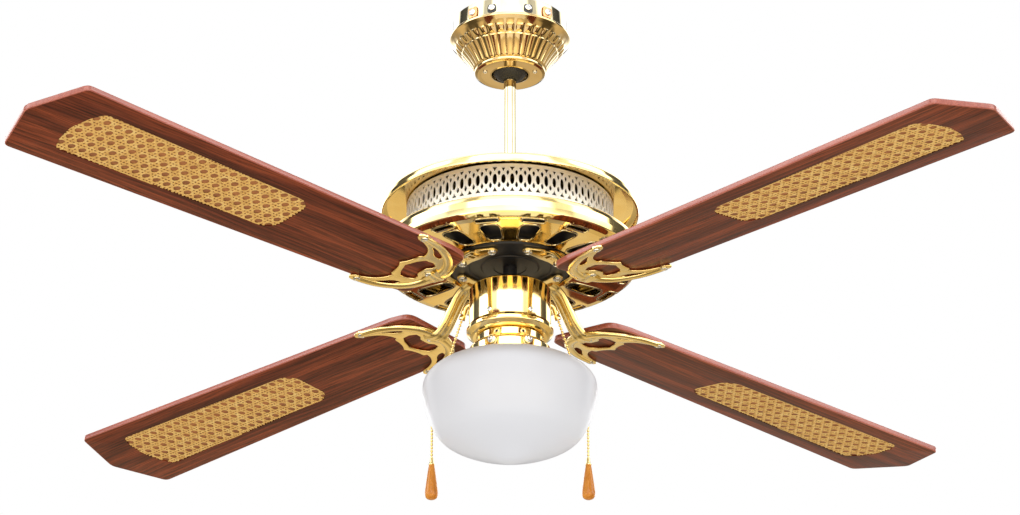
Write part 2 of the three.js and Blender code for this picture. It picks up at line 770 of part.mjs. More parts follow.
function buildPullChain(side, angle) {
  const slope = chainSlope();
  const hidden = 9; // length of chain inside the nozzle
  const bendLength = 8;
  const [mouthRadius, mouthZ] = CHAIN_MOUTH;
  const at = (radius, z) => chainPoint(radius, z, angle);
  const start = at(mouthRadius - slope.x * hidden, mouthZ - slope.y * hidden);
  const bendStart = at(CHAIN_HANG_RADIUS - slope.x * bendLength, CHAIN_BEND_Z - slope.y * bendLength);
  const bendMiddle = at(CHAIN_HANG_RADIUS, CHAIN_BEND_Z);
  const bendEnd = at(CHAIN_HANG_RADIUS, CHAIN_BEND_Z - bendLength);
  const path = new THREE.CurvePath();
  path.add(new THREE.LineCurve3(start, bendStart));
  path.add(new THREE.QuadraticBezierCurve3(bendStart, bendMiddle, bendEnd));
  path.add(new THREE.LineCurve3(bendEnd, at(CHAIN_HANG_RADIUS, CHAIN_END_Z)));
  add(`pull_chain_${side}`, bar(path, CHAIN_RADIUS, 24, 8), brass);

  const fob = [
    [0, CHAIN_END_Z - GAP],
    [2.2, CHAIN_END_Z - GAP],
    [3, CHAIN_END_Z - 4],
    [4.4, CHAIN_END_Z - 12],
    [6.6, CHAIN_END_Z - 24],
    [FOB_RADIUS, CHAIN_END_Z - 32],
    [6.6, CHAIN_END_Z - 38],
    [4, CHAIN_END_Z - FOB_LENGTH + 1],
    [0, CHAIN_END_Z - FOB_LENGTH],
  ];
  const spot = at(CHAIN_HANG_RADIUS, 0);
  add(`chain_fob_${side}`, turn(fob, 16).translate(spot.x, spot.y, 0), fobWood);
}

// ---- The whole fan ------------------------------------------------------------------------

buildCeilingMount();
buildDownrod();
buildHousing();
buildMotor();
buildBlades();
buildSwitchHousing();
buildLightKit();
buildPullChain('left', chainAngles.left);
buildPullChain('right', chainAngles.right);

export default fan;
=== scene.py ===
"""A ceiling fan with a light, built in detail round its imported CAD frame. Sizes are in millimetres until they
become mesh points, which are in metres."""
import bpy
import math
from mathutils import Matrix, Vector
from mathutils.geometry import delaunay_2d_cdt


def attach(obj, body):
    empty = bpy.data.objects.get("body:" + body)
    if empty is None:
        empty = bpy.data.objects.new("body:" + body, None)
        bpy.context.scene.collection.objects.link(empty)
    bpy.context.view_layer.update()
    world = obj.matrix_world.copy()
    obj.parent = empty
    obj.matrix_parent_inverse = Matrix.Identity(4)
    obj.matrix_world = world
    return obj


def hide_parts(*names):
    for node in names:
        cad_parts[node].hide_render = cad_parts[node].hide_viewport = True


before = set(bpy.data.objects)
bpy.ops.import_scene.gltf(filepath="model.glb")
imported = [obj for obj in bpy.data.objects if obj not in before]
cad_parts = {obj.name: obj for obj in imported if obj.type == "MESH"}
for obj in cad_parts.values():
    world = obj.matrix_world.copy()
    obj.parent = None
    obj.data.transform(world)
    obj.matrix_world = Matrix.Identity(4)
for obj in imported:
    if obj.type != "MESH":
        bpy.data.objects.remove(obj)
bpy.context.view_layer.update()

MM = 0.001
TAU = 2 * math.pi
FRONT = -math.pi / 2
UPSIDE_DOWN = Matrix.Rotation(math.pi, 4, "X")
THIN_WALL = 1.2  # of the turned brass covers

# ---- Sizes that repeat the frame's ----------------------------------------------------------

SHEET = 1.4
BLADE_COUNT = 4
BLADE_TIP = 660
BLADE_CORNER = 635
BLADE_ROOT = 108
BLADE_TIP_HALF = 65
BLADE_ROOT_HALF = 50
BLADE_THICKNESS = 6
BLADE_PITCH = math.radians(6.5)
BLADE_PLANE_Z = -336
CANE_INNER = 313
CANE_OUTER = 604
POCKET = 1.5
COLLAR_RADIUS = 62
CUP_RADIUS = 43.5
CUP_TOP = -320.5
CUP_BOTTOM = -365
BAND_RADIUS = 111.5
BAND_TOP = -224.8
BAND_BOTTOM = -265.8
HOUSING_HOLE = 69
PAN_SECTORS = 16
ROTOR_FACE = -296
GLOBE_TIP = -519
GLASS = 2.6
CHAIN_ANGLE = math.radians(30)
CHAIN_MOUTH = (59.5, -343)
CHAIN_HANG = 96
CHAIN_BEND = -438
CHAIN_END = -499
CHAIN_WIDTH = 3.2


# ---- Node trees -----------------------------------------------------------------------------


class Nodes:
    """A node tree, with a short way to add nodes and join them."""

    def __init__(self, tree):
        self.tree = tree
        self.coords = self.add("TexCoord")

    def add(self, kind, inputs=(), **settings):
        """A new node. Its inputs are values or other nodes' outputs, in order or by label."""
        made = self.tree.nodes.new("ShaderNode" + kind)
        for key, value in settings.items():
            setattr(made, key, value)
        for label, value in inputs.items() if isinstance(inputs, dict) else enumerate(inputs):
            if isinstance(value, bpy.types.NodeSocket):
                self.tree.links.new(value, made.inputs[label])
            else:
                made.inputs[label].default_value = value
        return made

    def math(self, operation, *values):
        return self.add("Math", values, operation=operation).outputs[0]

    def ramp(self, factor, stops):
        """Colours, or grey levels, at places from 0 to 1."""
        made = self.add("ValToRGB", [factor])
        elements = made.color_ramp.elements
        while len(elements) < len(stops):
            elements.new(0.5)
        for element, (place, color) in zip(elements, stops):
            element.position = place
            element.color = (*color, 1) if isinstance(color, tuple) else (color, color, color, 1)
        return made.outputs["Color"]

    def noise(self, scale, detail, roughness=0.5, distortion=0.0, stretch=(1, 1, 1), source=None):
        """Noise over the object or another source of coordinates, scaled along each axis."""
        vector = self.coords.outputs["Object"] if source is None else source
        mapping = self.add("Mapping", {"Vector": vector, "Scale": stretch})
        made = self.add("TexNoise", {"Vector": mapping.outputs[0], "Scale": scale, "Detail": detail,
                                     "Roughness": roughness, "Distortion": distortion})
        return made.outputs["Fac"]


class Shader(Nodes):
    """One material, with its colour, roughness and bump set from noise."""

    def __init__(self, name, **sockets):
        self.material = bpy.data.materials.new(name)
        self.material.use_nodes = True
        super().__init__(self.material.node_tree)
        self.bsdf = self.tree.nodes["Principled BSDF"]
        for label, value in sockets.items():
            self.bsdf.inputs[label.replace("_", " ")].default_value = value

    def set(self, label, output):
        self.tree.links.new(output, self.bsdf.inputs[label])

    def paint(self, factor, *stops):
        self.set("Base Color", self.ramp(factor, stops))

    def span(self, value, low, high):
        """A 0 to 1 value spread from low to high."""
        return self.add("MapRange", {"Value": value, "To Min": low, "To Max": high}).outputs["Result"]

    def rough(self, factor, low, high):
        self.set("Roughness", self.span(factor, low, high))

    def multiplied(self, first, second):
        made = self.add("Mix", {0: 1.0, 6: first, 7: second}, data_type="RGBA", blend_type="MULTIPLY")
        return made.outputs[2]

    def bump(self, height, strength, distance):
        made = self.add("Bump", {"Height": height, "Strength": strength, "Distance": distance})
        self.set("Normal", made.outputs["Normal"])


# ---- Materials ------------------------------------------------------------------------------


def mottled(name, noise, colors, roughness, bump=None, **sockets):
    """A material whose tone, roughness and bump follow one noise."""
    shader = Shader(name, **sockets)
    tone = shader.noise(*noise)
    shader.paint(tone, *colors)
    shader.rough(tone, *roughness)
    if bump:
        shader.bump(tone, *bump)
    return shader


def polished_brass(name="polished_brass", low=(0.88, 0.65, 0.25), high=(0.95, 0.77, 0.38)):
    shader = Shader(name, Metallic=1.0)
    shader.paint(shader.noise(22, 3), (0.35, low), (0.65, high))
    shader.rough(shader.noise(55, 5, 0.6, 0.4, (1, 1, 3)), 0.05, 0.13)
    shader.bump(shader.noise(90, 2), 0.03, 0.0005)
    return shader.material


def pale_brass():
    """The mounting ring, the downrod and the rims round the windows, which mirror mostly white."""
    colors = [(0.35, (0.46, 0.40, 0.25)), (0.65, (0.54, 0.48, 0.32))]
    shader = mottled("pale_brass", [26, 3], colors, (0.05, 0.10), Metallic=1.0)
    shader.bump(shader.noise(90, 2), 0.03, 0.0005)
    return shader.material


def cream_brass():
    """The filigree band: near-white and barely metallic satin, a painted highlight in place of the brass band's
    over-exposed reflections.
    """
    colors = [(0.35, (0.97, 0.95, 0.86)), (0.65, (0.99, 0.98, 0.92))]
    return mottled("cream_brass", [26, 3], colors, (0.32, 0.42), Metallic=0.15).material


def cast_brass():
    colors = [(0.3, (0.90, 0.68, 0.27)), (0.7, (0.97, 0.80, 0.42))]
    shader = mottled("cast_brass", [30, 4], colors, (0.14, 0.26), Metallic=1.0)
    shader.bump(shader.noise(700, 3, 0.6), 0.08, 0.0003)
    return shader.material


def bright_steel():
    colors = [(0.3, (0.6396, 0.6478, 0.656)), (0.7, (0.78, 0.79, 0.80))]
    streak = [160, 4, 0.6, 0.0, (1, 1, 8)]
    return mottled("bright_steel", streak, colors, (0.16, 0.32), (0.05, 0.0002), Metallic=1.0).material


def satin_black(name="satin_black", low=0.35, high=0.5):
    colors = [(0.3, (0.010, 0.010, 0.011)), (0.7, (0.022, 0.021, 0.022))]
    return mottled(name, [420, 4, 0.6], colors, (low, high), (0.12, 0.0003)).material


def white_plastic():
    colors = [(0.3, (0.74, 0.72, 0.66)), (0.7, (0.80, 0.78, 0.73))]
    return mottled("white_plastic", [260, 3], colors, (0.38, 0.5), IOR=1.46).material


def laminate_wood():
    """Dark red-brown rosewood laminate. The grain runs along the blade's own X."""
    shader = Shader("laminate_wood", Specular_IOR_Level=0.12)
    warp = shader.noise(1.0, 3, stretch=(2.0, 7, 7))
    offset = shader.add("CombineXYZ", {"Y": shader.span(warp, -0.012, 0.012)}).outputs[0]
    bent = shader.add("VectorMath", [shader.coords.outputs["Object"], offset], operation="ADD").outputs[0]
    broad = shader.noise(1.0, 5, 0.55, 0.0, (2.2, 42, 42), bent)
    fine = shader.noise(1.0, 5, 0.65, 0.0, (9, 420, 420), bent)
    pores = shader.noise(1.0, 2, 0.5, 0.0, (26, 900, 900), bent)
    tone = shader.ramp(broad, [
        (0.28, (0.056, 0.012, 0.006)),
        (0.42, (0.134, 0.025, 0.010)),
        (0.54, (0.240, 0.049, 0.016)),
        (0.62, (0.168, 0.032, 0.012)),
        (0.74, (0.084, 0.017, 0.008)),
    ])
    streaks = shader.ramp(fine, [(0.36, (0.42, 0.40, 0.40)), (0.62, (1.25, 1.18, 1.14))])
    flecks = shader.ramp(pores, [(0.34, (0.45, 0.42, 0.42)), (0.44, (1, 1, 1))])
    shader.set("Base Color", shader.multiplied(shader.multiplied(tone, streaks), flecks))
    shader.rough(fine, 0.30, 0.44)
    shader.bump(fine, 0.06, 0.0004)
    return shader.material


def edge_band():
    colors = [(0.3, (0.37, 0.080, 0.050)), (0.7, (0.54, 0.150, 0.095))]
    lengthwise = [1.0, 4, 0.6, 0.0, (10, 300, 300)]
    return mottled("edge_band", lengthwise, colors, (0.25, 0.35), Coat_Weight=0.3,
                   Coat_Roughness=0.2).material


def cane_strand():
    shader = Shader("cane_strand", Specular_IOR_Level=0.3)
    tone = shader.noise(120, 4, 0.6)
    fine = shader.noise(900, 3, 0.6)
    base = shader.ramp(tone, [
        (0.3, (0.66, 0.35, 0.085)),
        (0.5, (0.80, 0.46, 0.12)),
        (0.72, (0.90, 0.60, 0.20)),
    ])
    shade = shader.ramp(fine, [(0.3, (0.82, 0.80, 0.76)), (0.6, (1.05, 1.05, 1.03))])
    shader.set("Base Color", shader.multiplied(base, shade))
    shader.rough(fine, 0.42, 0.6)
    shader.bump(fine, 0.15, 0.0002)
    return shader.material


def cane_backing():
    shader = Shader("cane_backing", Roughness=0.7)
    tone = shader.noise(1.0, 4, 0.6, 0.0, (14, 180, 180))
    # The brown is partly the sheet's own colour and partly painted shade, set darker for the recess seen
    # through the weave's holes
    shader.paint(tone, (0.3, (0.26, 0.085, 0.020)), (0.7, (0.44, 0.155, 0.035)))
    return shader.material


def opal_glass():
    colors = [(0.3, (0.765, 0.765, 0.79)), (0.7, (0.80, 0.80, 0.82))]
    return mottled("opal_glass", [9, 3], colors, (0.34, 0.44), Coat_Weight=0.06, Coat_Roughness=0.2,
                   Specular_IOR_Level=0.22).material


def frosted_bulb():
    colors = [(0.3, (0.86, 0.85, 0.80)), (0.7, (0.92, 0.91, 0.87))]
    return mottled("frosted_bulb", [500, 2], colors, (0.45, 0.6), Transmission_Weight=0.3, IOR=1.46).material


def fob_wood():
    colors = [
        (0.32, (0.40, 0.115, 0.008)),
        (0.5, (0.62, 0.205, 0.016)),
        (0.68, (0.78, 0.300, 0.034)),
    ]
    upright = [1.0, 5, 0.6, 0.6, (110, 110, 14)]
    return mottled("fob_wood", upright, colors, (0.28, 0.4), (0.08, 0.0003), Coat_Weight=0.25,
                   Coat_Roughness=0.2, Specular_IOR_Level=0.3).material


def copper_parts():
    colors = [(0.3, (0.55, 0.22, 0.09)), (0.7, (0.78, 0.38, 0.18))]
    wound = [40, 3, 0.5, 0.0, (1, 1, 60)]
    return mottled("copper_parts", wound, colors, (0.28, 0.45), Metallic=1.0).material


BRASS = polished_brass()
# A darker copy of the polished brass: painted shade for the canopy bell, which mirrors the darker low studio as
# it slopes downward
PAINTED_SHADE_BRASS = polished_brass("deep_brass", (0.58, 0.42, 0.19), (0.70, 0.54, 0.30))
CAST = cast_brass()
PALE = pale_brass()
CREAM = cream_brass()
STEEL = bright_steel()
BLACK = satin_black()
BLACK_PLASTIC = satin_black("black_plastic", 0.45, 0.6)
WHITE_PLASTIC = white_plastic()
WOOD = laminate_wood()
EDGE = edge_band()
CANE = cane_strand()
BACKING = cane_backing()
OPAL = opal_glass()
BULB = frosted_bulb()
FOB = fob_wood()
COPPER = copper_parts()


# ---- Pieces ---------------------------------------------------------------------------------


def linked(name, data):
    """A new object in the scene."""
    made = bpy.data.objects.new(name, data)
    bpy.context.scene.collection.objects.link(made)
    return made


def mesh_piece(name, points, faces, material, sharp=32, face_materials=None):
    """An object from points in millimetres. Edges turning by more than sharp degrees stay sharp."""
    mesh = bpy.data.meshes.new(name)
    mesh.from_pydata([tuple(c * MM for c in p) for p in points], [], faces)
    for one in material if isinstance(material, list) else [material]:
        mesh.materials.append(one)
    if face_materials:
        mesh.polygons.foreach_set("material_index", face_materials)
    mesh.validate()
    mesh.polygons.foreach_set("use_smooth", [True] * len(mesh.polygons))
    mesh.set_sharp_from_angle(angle=math.radians(sharp))
    mesh.update()
    return linked(name, mesh)


def place(piece, body, matrix=None, stands_for=(), slot=None):
    """Puts a piece on its body, in place of the frame's nodes that it stands for."""
    if matrix is not None:
        piece.matrix_world = matrix
        bpy.context.view_layer.update()
    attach(piece, body)
    if stands_for:
        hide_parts(*stands_for)


def around(radians):
    return Matrix.Rotation(radians, 4, "Z")


def spoke(angle, z=0.0, tilt=0.0):
    """The frame of a piece whose +X points out from the axis at an angle, pitched about that X."""
    return Matrix.Translation((0, 0, z * MM)) @ around(angle) @ Matrix.Rotation(tilt, 4, "X")


def radial(angle, radius, z, twist=0.0):
    """A frame whose +Z points out from the axis at a radius and height, turned about that Z by twist."""
    out = around(angle) @ Matrix.Translation((radius * MM, 0, z * MM))
    return out @ Matrix.Rotation(math.pi / 2, 4, "Y") @ around(twist)


# ---- Lines and outlines ---------------------------------------------------------------------


def bend(start, corner, end, steps):
    """Points along the round stretch that replaces a corner."""
    out = []
    for k in range(steps + 1):
        t = k / steps
        out.append(tuple(start * (1 - t) ** 2 + corner * 2 * t * (1 - t) + end * t * t))
    return out


def rounded(corners, steps=5, closed=False):
    """A line, or a closed outline, whose corners (x, y, fillet) are rounded where there is a fillet."""
    out = []
    count = len(corners)
    share = 0.48 if closed else 0.49  # the most of a side that one fillet takes
    for i, corner in enumerate(corners):
        here = Vector(corner[:2])
        fillet = corner[2] if len(corner) > 2 else 0
        if not fillet or (not closed and i in (0, count - 1)):
            out.append(tuple(here))
            continue
        back = Vector(corners[i - 1][:2]) - here
        ahead = Vector(corners[(i + 1) % count][:2]) - here
        reach = min(fillet / math.tan(back.angle(ahead) / 2), back.length * share, ahead.length * share)
        out += bend(here + back.normalized() * reach, here, here + ahead.normalized() * reach, steps)
    return out


def behind(profile, thickness, least=0.0):
    """The line a thickness behind a profile, and nowhere nearer to the axis than least."""
    out = []
    for i, (radius, height) in enumerate(profile):
        before = Vector(profile[max(i - 1, 0)])
        after = Vector(profile[min(i + 1, len(profile) - 1)])
        along = (after - before).normalized()
        out.append((max(radius + along.y * thickness, least), height - along.x * thickness))
    return out


def backed(profile, thickness):
    """A profile with the same line walked back behind it, so that it closes as a thin wall."""
    return list(profile) + behind(profile, thickness)[::-1]


def circle(radius, sides=16, flat=1.0):
    """A circle, or an ellipse whose height is flat times its width."""
    angles = [TAU * k / sides for k in range(sides)]
    return [(radius * math.cos(a), flat * radius * math.sin(a)) for a in angles]


def smooth_line(points, steps=6, closed=False):
    """A curve through points, Catmull-Rom."""
    count = len(points)
    vectors = [Vector(p) for p in points]
    out = []
    for i in range(count if closed else count - 1):
        near = [(i + k) % count if closed else min(max(i + k, 0), count - 1) for k in (-1, 0, 1, 2)]
        a, b, c, d = (vectors[n] for n in near)
        for k in range(steps):
            t = k / steps
            point = 0.5 * (2 * b + (c - a) * t + (2 * a - 5 * b + 4 * c - d) * t * t
                           + (3 * b - a - 3 * c + d) * t ** 3)
            out.append(tuple(point))
    if not closed:
        out.append(tuple(vectors[-1]))
    return out


def both_sides(half):
    """An outline from its half on one side of the X axis."""
    return half + [(x, -y) for x, y in half if y != 0][::-1]


def inset(outline, distance):
    """The outline moved inward. It runs anticlockwise."""
    out = []
    count = len(outline)
    for i in range(count):
        before = Vector(outline[i - 1])
        here = Vector(outline[i])
        after = Vector(outline[(i + 1) % count])
        first = (here - before).normalized()
        along = (first + (after - here).normalized()).normalized()
        widen = 1 / max(along.dot(first), 0.5)
        out.append((here.x - along.y * distance * widen, here.y + along.x * distance * widen))
    return out


def anticlockwise(outline):
    area = sum(a[0] * b[1] - b[0] * a[1] for a, b in zip(outline, outline[1:] + outline[:1]))
    return list(outline) if area > 0 else list(outline)[::-1]


def inside(point, outline):
    x, y = point
    found = False
    for (x1, y1), (x2, y2) in zip(outline, outline[1:] + outline[:1]):
        if (y1 > y) != (y2 > y) and x < (x2 - x1) * (y - y1) / (y2 - y1) + x1:
            found = not found
    return found


# ---- Solids, as (points, faces) -------------------------------------------------------------


def outward(points, faces):
    """The faces, turned round if the closed shape they make is inside out."""
    total = 0
    for face in faces:
        a = Vector(points[face[0]])
        for k in range(1, len(face) - 1):
            total += a.dot(Vector(points[face[k]]).cross(Vector(points[face[k + 1]])))
    return [tuple(reversed(f)) for f in faces] if total < 0 else faces


def strip(rings, count, first=0):
    """The quads between neighbouring rings of count points."""
    faces = []
    for i in range(rings - 1):
        a = first + i * count
        for k in range(count):
            n = (k + 1) % count
            faces.append((a + k, a + n, a + count + n, a + count + k))
    return faces


def skinned(rings, capped=True):
    """A skin over rings of points, each joined to the next."""
    count = len(rings[0])
    points = [p for ring in rings for p in ring]
    faces = strip(len(rings), count)
    if capped:
        faces.append(tuple(range(count))[::-1])
        faces.append(tuple(range(len(points) - count, len(points))))
    return points, outward(points, faces)


def turned_mesh(profile, sides, shape=None):
    """A profile turned about Z. shape(angle, i) adds to point i's radius."""
    on_axis = profile[0][0] < 1e-6 and profile[-1][0] < 1e-6
    ring = profile[1:-1] if on_axis else profile
    count = len(ring)
    points = []
    for j in range(sides):
        angle = TAU * j / sides
        for i, (radius, height) in enumerate(ring):
            r = radius + (shape(angle, i) if shape else 0)
            points.append((r * math.cos(angle), r * math.sin(angle), height))
    if on_axis:
        points += [(0, 0, profile[0][1]), (0, 0, profile[-1][1])]
    faces = []
    for j in range(sides):
        a = j * count
        b = ((j + 1) % sides) * count
        for i in range(count - 1 if on_axis else count):
            n = (i + 1) % count
            faces.append((a + i, b + i, b + n, a + n))
        if on_axis:
            faces.append((sides * count, b, a))
            faces.append((sides * count + 1, a + count - 1, b + count - 1))
    return points, outward(points, faces)


def turned(name, profile, material, sides=160, sharp=32, shape=None):
    return mesh_piece(name, *turned_mesh(profile, sides, shape), material, sharp)


def joined(parts):
    """Several solids in one."""
    points = []
    faces = []
    for part_points, part_faces in parts:
        start = len(points)
        points += [tuple(p) for p in part_points]
        faces += [tuple(i + start for i in f) for f in part_faces]
    return points, faces


def moved(part, matrix):
    points, faces = part
    return [tuple(matrix @ Vector(p)) for p in points], faces


def swept(path, section, capped=True, up=Vector((0, 0, 1))):
    """A section, or one for each path point, carried along a path. Its x is across, its y is up."""
    sections = section if isinstance(section[0][0], (tuple, list)) else [section] * len(path)
    rings = []
    for i, here in enumerate(path):
        before = Vector(path[max(i - 1, 0)])
        after = Vector(path[min(i + 1, len(path) - 1)])
        forward = (after - before).normalized()
        side = forward.cross(up).normalized()
        over = side.cross(forward)
        rings.append([tuple(Vector(here) + side * x + over * y) for x, y in sections[i]])
    return skinned(rings, capped)


def filled(loops, extra=()):
    """Triangles inside the first loop and outside the others. The loops' points come first."""
    points = [Vector(p) for loop in loops for p in loop]
    edges = []
    start = 0
    for loop in loops:
        edges += [(start + i, start + (i + 1) % len(loop)) for i in range(len(loop))]
        start += len(loop)
    points += [Vector(p) for p in extra if not any(inside(p, hole) for hole in loops[1:])]
    found, _, faces, origins, _, _ = delaunay_2d_cdt(points, edges, [], 0, 1e-6)
    index = []
    for spot, sources in zip(found, origins):
        if not sources:
            points.append(spot)
        index.append(sources[0] if sources else len(points) - 1)
    kept = []
    for face in faces:
        middle = sum((found[i] for i in face), Vector((0, 0))) / len(face)
        if inside(middle, loops[0]) and not any(inside(middle, hole) for hole in loops[1:]):
            kept.append(tuple(index[i] for i in face))
    return [tuple(p) for p in points], kept


def edge_levels(bottom, top, bevel, steps):
    """How far in, and how high, each level of a plate's rounded edge lies."""
    levels = []
    for k in range(steps + 1):
        a = math.pi / 2 * k / steps
        levels.append((bevel * (1 - math.sin(a)), bottom + bevel * (1 - math.cos(a))))
    return levels + [(d, top + bottom - z) for d, z in levels[::-1]]


def plate(outline, holes, bottom, top, bevel=0.5, steps=3):
    """A flat plate with holes and rounded edges."""
    loops = [anticlockwise(outline)] + [anticlockwise(h)[::-1] for h in holes]
    levels = edge_levels(bottom, top, bevel, steps)
    points = []
    faces = []
    under = []
    over = []
    for loop in loops:
        start = len(points)
        count = len(loop)
        for distance, z in levels:
            points += [(x, y, z) for x, y in inset(loop, distance)]
        faces += strip(len(levels), count, start)
        under += range(start, start + count)
        over += range(len(points) - count, len(points))
    _, cap_faces = filled([inset(loop, levels[0][0]) for loop in loops])
    for face in cap_faces:
        faces.append(tuple(under[i] for i in face)[::-1])
        faces.append(tuple(over[i] for i in face))
    return points, outward(points, faces)


# ---- Screws ---------------------------------------------------------------------------------


def screw_head(radius, height, shank):
    """A domed cross-head screw along +Z, its seat at 0."""
    levels = 12
    sides = 48
    slot_floor = height * 0.45
    slot_reach = radius * 0.62
    slot_half = radius * 0.13
    seat = ((shank, -shank * 2.2), (shank, 0), (radius, 0))
    rings = [[(x, y, z) for x, y in circle(r, sides)] for r, z in seat]
    for i in range(levels):
        a = i / levels * math.pi / 2
        dome = height * (0.35 + 0.65 * math.sin(a))
        ring = []
        for x, y in circle(radius * math.cos(a), sides):
            near, far = sorted((abs(x), abs(y)))
            ring.append((x, y, slot_floor if near < slot_half and far < slot_reach else dome))
        rings.append(ring)
    rings.append([(x, y, slot_floor) for x, y in circle(0.02, sides)])
    return skinned(rings)


def shared_screws(name, sizes, body, slot, places):
    """Screws of one size at several places: [(piece name, matrix, replaced nodes)]."""
    mesh = None
    for piece_name, matrix, nodes in places:
        if mesh is None:
            piece = mesh_piece(piece_name, *screw_head(*sizes), STEEL, 40)
            mesh = piece.data
            mesh.name = name
        else:
            piece = linked(piece_name, mesh)
        place(piece, body, matrix, nodes, slot)


# ---- Ceiling mount --------------------------------------------------------------------------

CANOPY_FLUTES = 34
FLUTE_TOP = -30.0
FLUTE_FOOT = -58.5


def fluting(profile):
    """The radius that the canopy's reeds and the bead above each reed add, by angle and point."""
    bead_length = 7.0
    gap = 0.5
    run = FLUTE_TOP - FLUTE_FOOT

    def add(angle, i):
        down = FLUTE_TOP - profile[i][1]
        if not 0 < down < run:
            return 0.0
        lobe = abs(math.sin(CANOPY_FLUTES * angle / 2))
        if down < bead_length:
            swell = math.sqrt(max(0.0, 1 - (2 * down / bead_length - 1) ** 2))
            narrow = max(0.0, lobe - 0.35) / 0.65
            return 1.5 * swell * math.sqrt(narrow)
        reed = min(1.0, (down - bead_length - gap) / 1.4, (run - down) / 1.0)
        return 1.1 * max(0.0, reed) * lobe ** 0.4

    return add


def build_canopy():
    outer = rounded([
        (COLLAR_RADIUS + 1.0, -19.6),
        (65.9, -19.6, 1.2),
        (66.0, -22.4, 1.0),
        (63.2, -25.6, 1.5),
        (60.2, -29.4, 1.0),
    ])
    wall_steps = 40
    for k in range(1, wall_steps + 1):
        t = k / wall_steps
        outer.append((60.2 - 22.2 * t - 1.6 * math.sin(math.pi * t), -29.4 - 29.4 * t))
    outer += rounded([
        (38.0, -58.9),
        (38.9, -60.2, 0.8),
        (38.6, -62.4, 1.4),
        (35.4, -64.0, 1.2),
        (31.5, -63.6, 0.6),
        (22.0, -63.4, 0.4),
        (20.3, -63.9, 0.0),
    ])[1:]
    profile = backed(outer, 1.0)
    front_half = len(outer)
    add = fluting(profile)
    # The bell takes the darker brass copy, painted shade
    piece = turned("canopy_bell", profile, PAINTED_SHADE_BRASS, CANOPY_FLUTES * 12, 50,
                   lambda a, i: add(a, i) if i < front_half else 0.0)
    place(piece, "ceiling_mount", None, ["canopy"], "brass")
    places = []
    for k, degrees in enumerate((72, -72, 180)):
        spot = around(FRONT + math.radians(degrees)) @ Matrix.Translation((28.5 * MM, 0, -63.6 * MM))
        places.append((f"canopy_foot_screw_{k + 1}", spot @ UPSIDE_DOWN, ()))
    shared_screws("foot_screw", (2.5, 1.7, 1.1), "ceiling_mount", "brass", places)


def build_collar():
    line = rounded([(60.9, -0.4), (COLLAR_RADIUS, -0.4, 0.5), (COLLAR_RADIUS, -23.6, 0.4), (61.4, -23.9)])
    ring = backed(line, THIN_WALL)
    place(turned("collar_ring", ring, PALE, 192), "ceiling_mount", None, ["mounting_collar"], "brass")
    slot_corners = [(-4.6, -4.2), (0, -5.6), (4.6, -4.2), (4.9, 1.5), (3.2, 4.6), (-3.2, 4.6), (-4.9, 1.5)]
    keyhole = plate(smooth_line(slot_corners, 5, True), [], -0.2, 0.35, 0.15)
    places = []
    for k, degrees in enumerate((18.6, -18.6, 161.4, -161.4)):
        angle = FRONT + math.radians(degrees)
        # A thin black plate on the ring at each keyhole: painted shade for the dark inside of the slot through
        # the collar
        keyhole_shade = mesh_piece(f"collar_keyhole_{k + 1}", *keyhole, BLACK)
        turn = radial(angle, COLLAR_RADIUS - 0.1, -12, math.pi / 2)
        place(keyhole_shade, "ceiling_mount", turn, (), "black_enamel")
        spot = radial(angle, COLLAR_RADIUS + 0.3, -11.5, 0.5 + k)
        places.append((f"collar_screw_head_{k + 1}", spot, [f"collar_screw_{k + 1}"]))
    shared_screws("collar_screw_mesh", (3.7, 2.4, 1.9), "ceiling_mount", "steel", places)
    tab_corners = [(-5.4, -5.6), (5.4, -5.6), (6.0, 0), (5.4, 5.6), (-5.4, 5.6), (-6.0, 0)]
    tab = plate(smooth_line(tab_corners, 4, True), [], 0.3, 1.8, 0.5)
    places = []
    for k, degrees in enumerate((40, -40, 140, -140)):
        angle = FRONT + math.radians(degrees)
        piece = mesh_piece(f"canopy_tab_{k + 1}", *tab, COPPER)
        place(piece, "ceiling_mount", radial(angle, COLLAR_RADIUS, -12), [f"canopy_screw_{k + 1}"], "copper")
        places.append((f"canopy_screw_head_{k + 1}", radial(angle, COLLAR_RADIUS + 1.8, -12, k), ()))
    shared_screws("canopy_screw_mesh", (4.0, 2.2, 1.9), "ceiling_mount", "steel", places)


def build_downrod():
    ball_radius = 22
    ball_steps = 40
    top = math.asin(9 / ball_radius)
    bottom = -math.acos(7.4 / ball_radius)
    ball = [(7.0, -41.0)]
    for k in range(ball_steps + 1):
        a = top + (bottom - top) * k / ball_steps
        ball.append((ball_radius * math.cos(a), -50 + ball_radius * math.sin(a)))
    ball.append((7.0, ball[-1][1]))
    piece = turned("ball_of_hanger", ball, BLACK_PLASTIC, 96)
    place(piece, "hanging_fan", None, ["hanger_ball"], "black_plastic")
    rod = rounded([(5.2, -30), (6.7, -30, 0.4), (6.7, -228, 0.4), (5.2, -228)])
    place(turned("downrod_tube", rod, PALE, 64), "hanging_fan", None, ["downrod"], "brass")
    coupling = rounded([
        (7.0, -212), (12.8, -212, 1.2), (14.0, -214, 1.0), (14.0, -225, 0.5), (24, -225, 0.8),
        (24, -228.5, 0.8), (14, -228.5), (14, -238, 0.5), (7.8, -238), (7.8, -228.3), (7.0, -228.3),
    ])
    place(turned("coupling_collar", coupling, BRASS, 64), "hanging_fan", None, ["motor_coupling"], "steel")


# ---- Housing --------------------------------------------------------------------------------


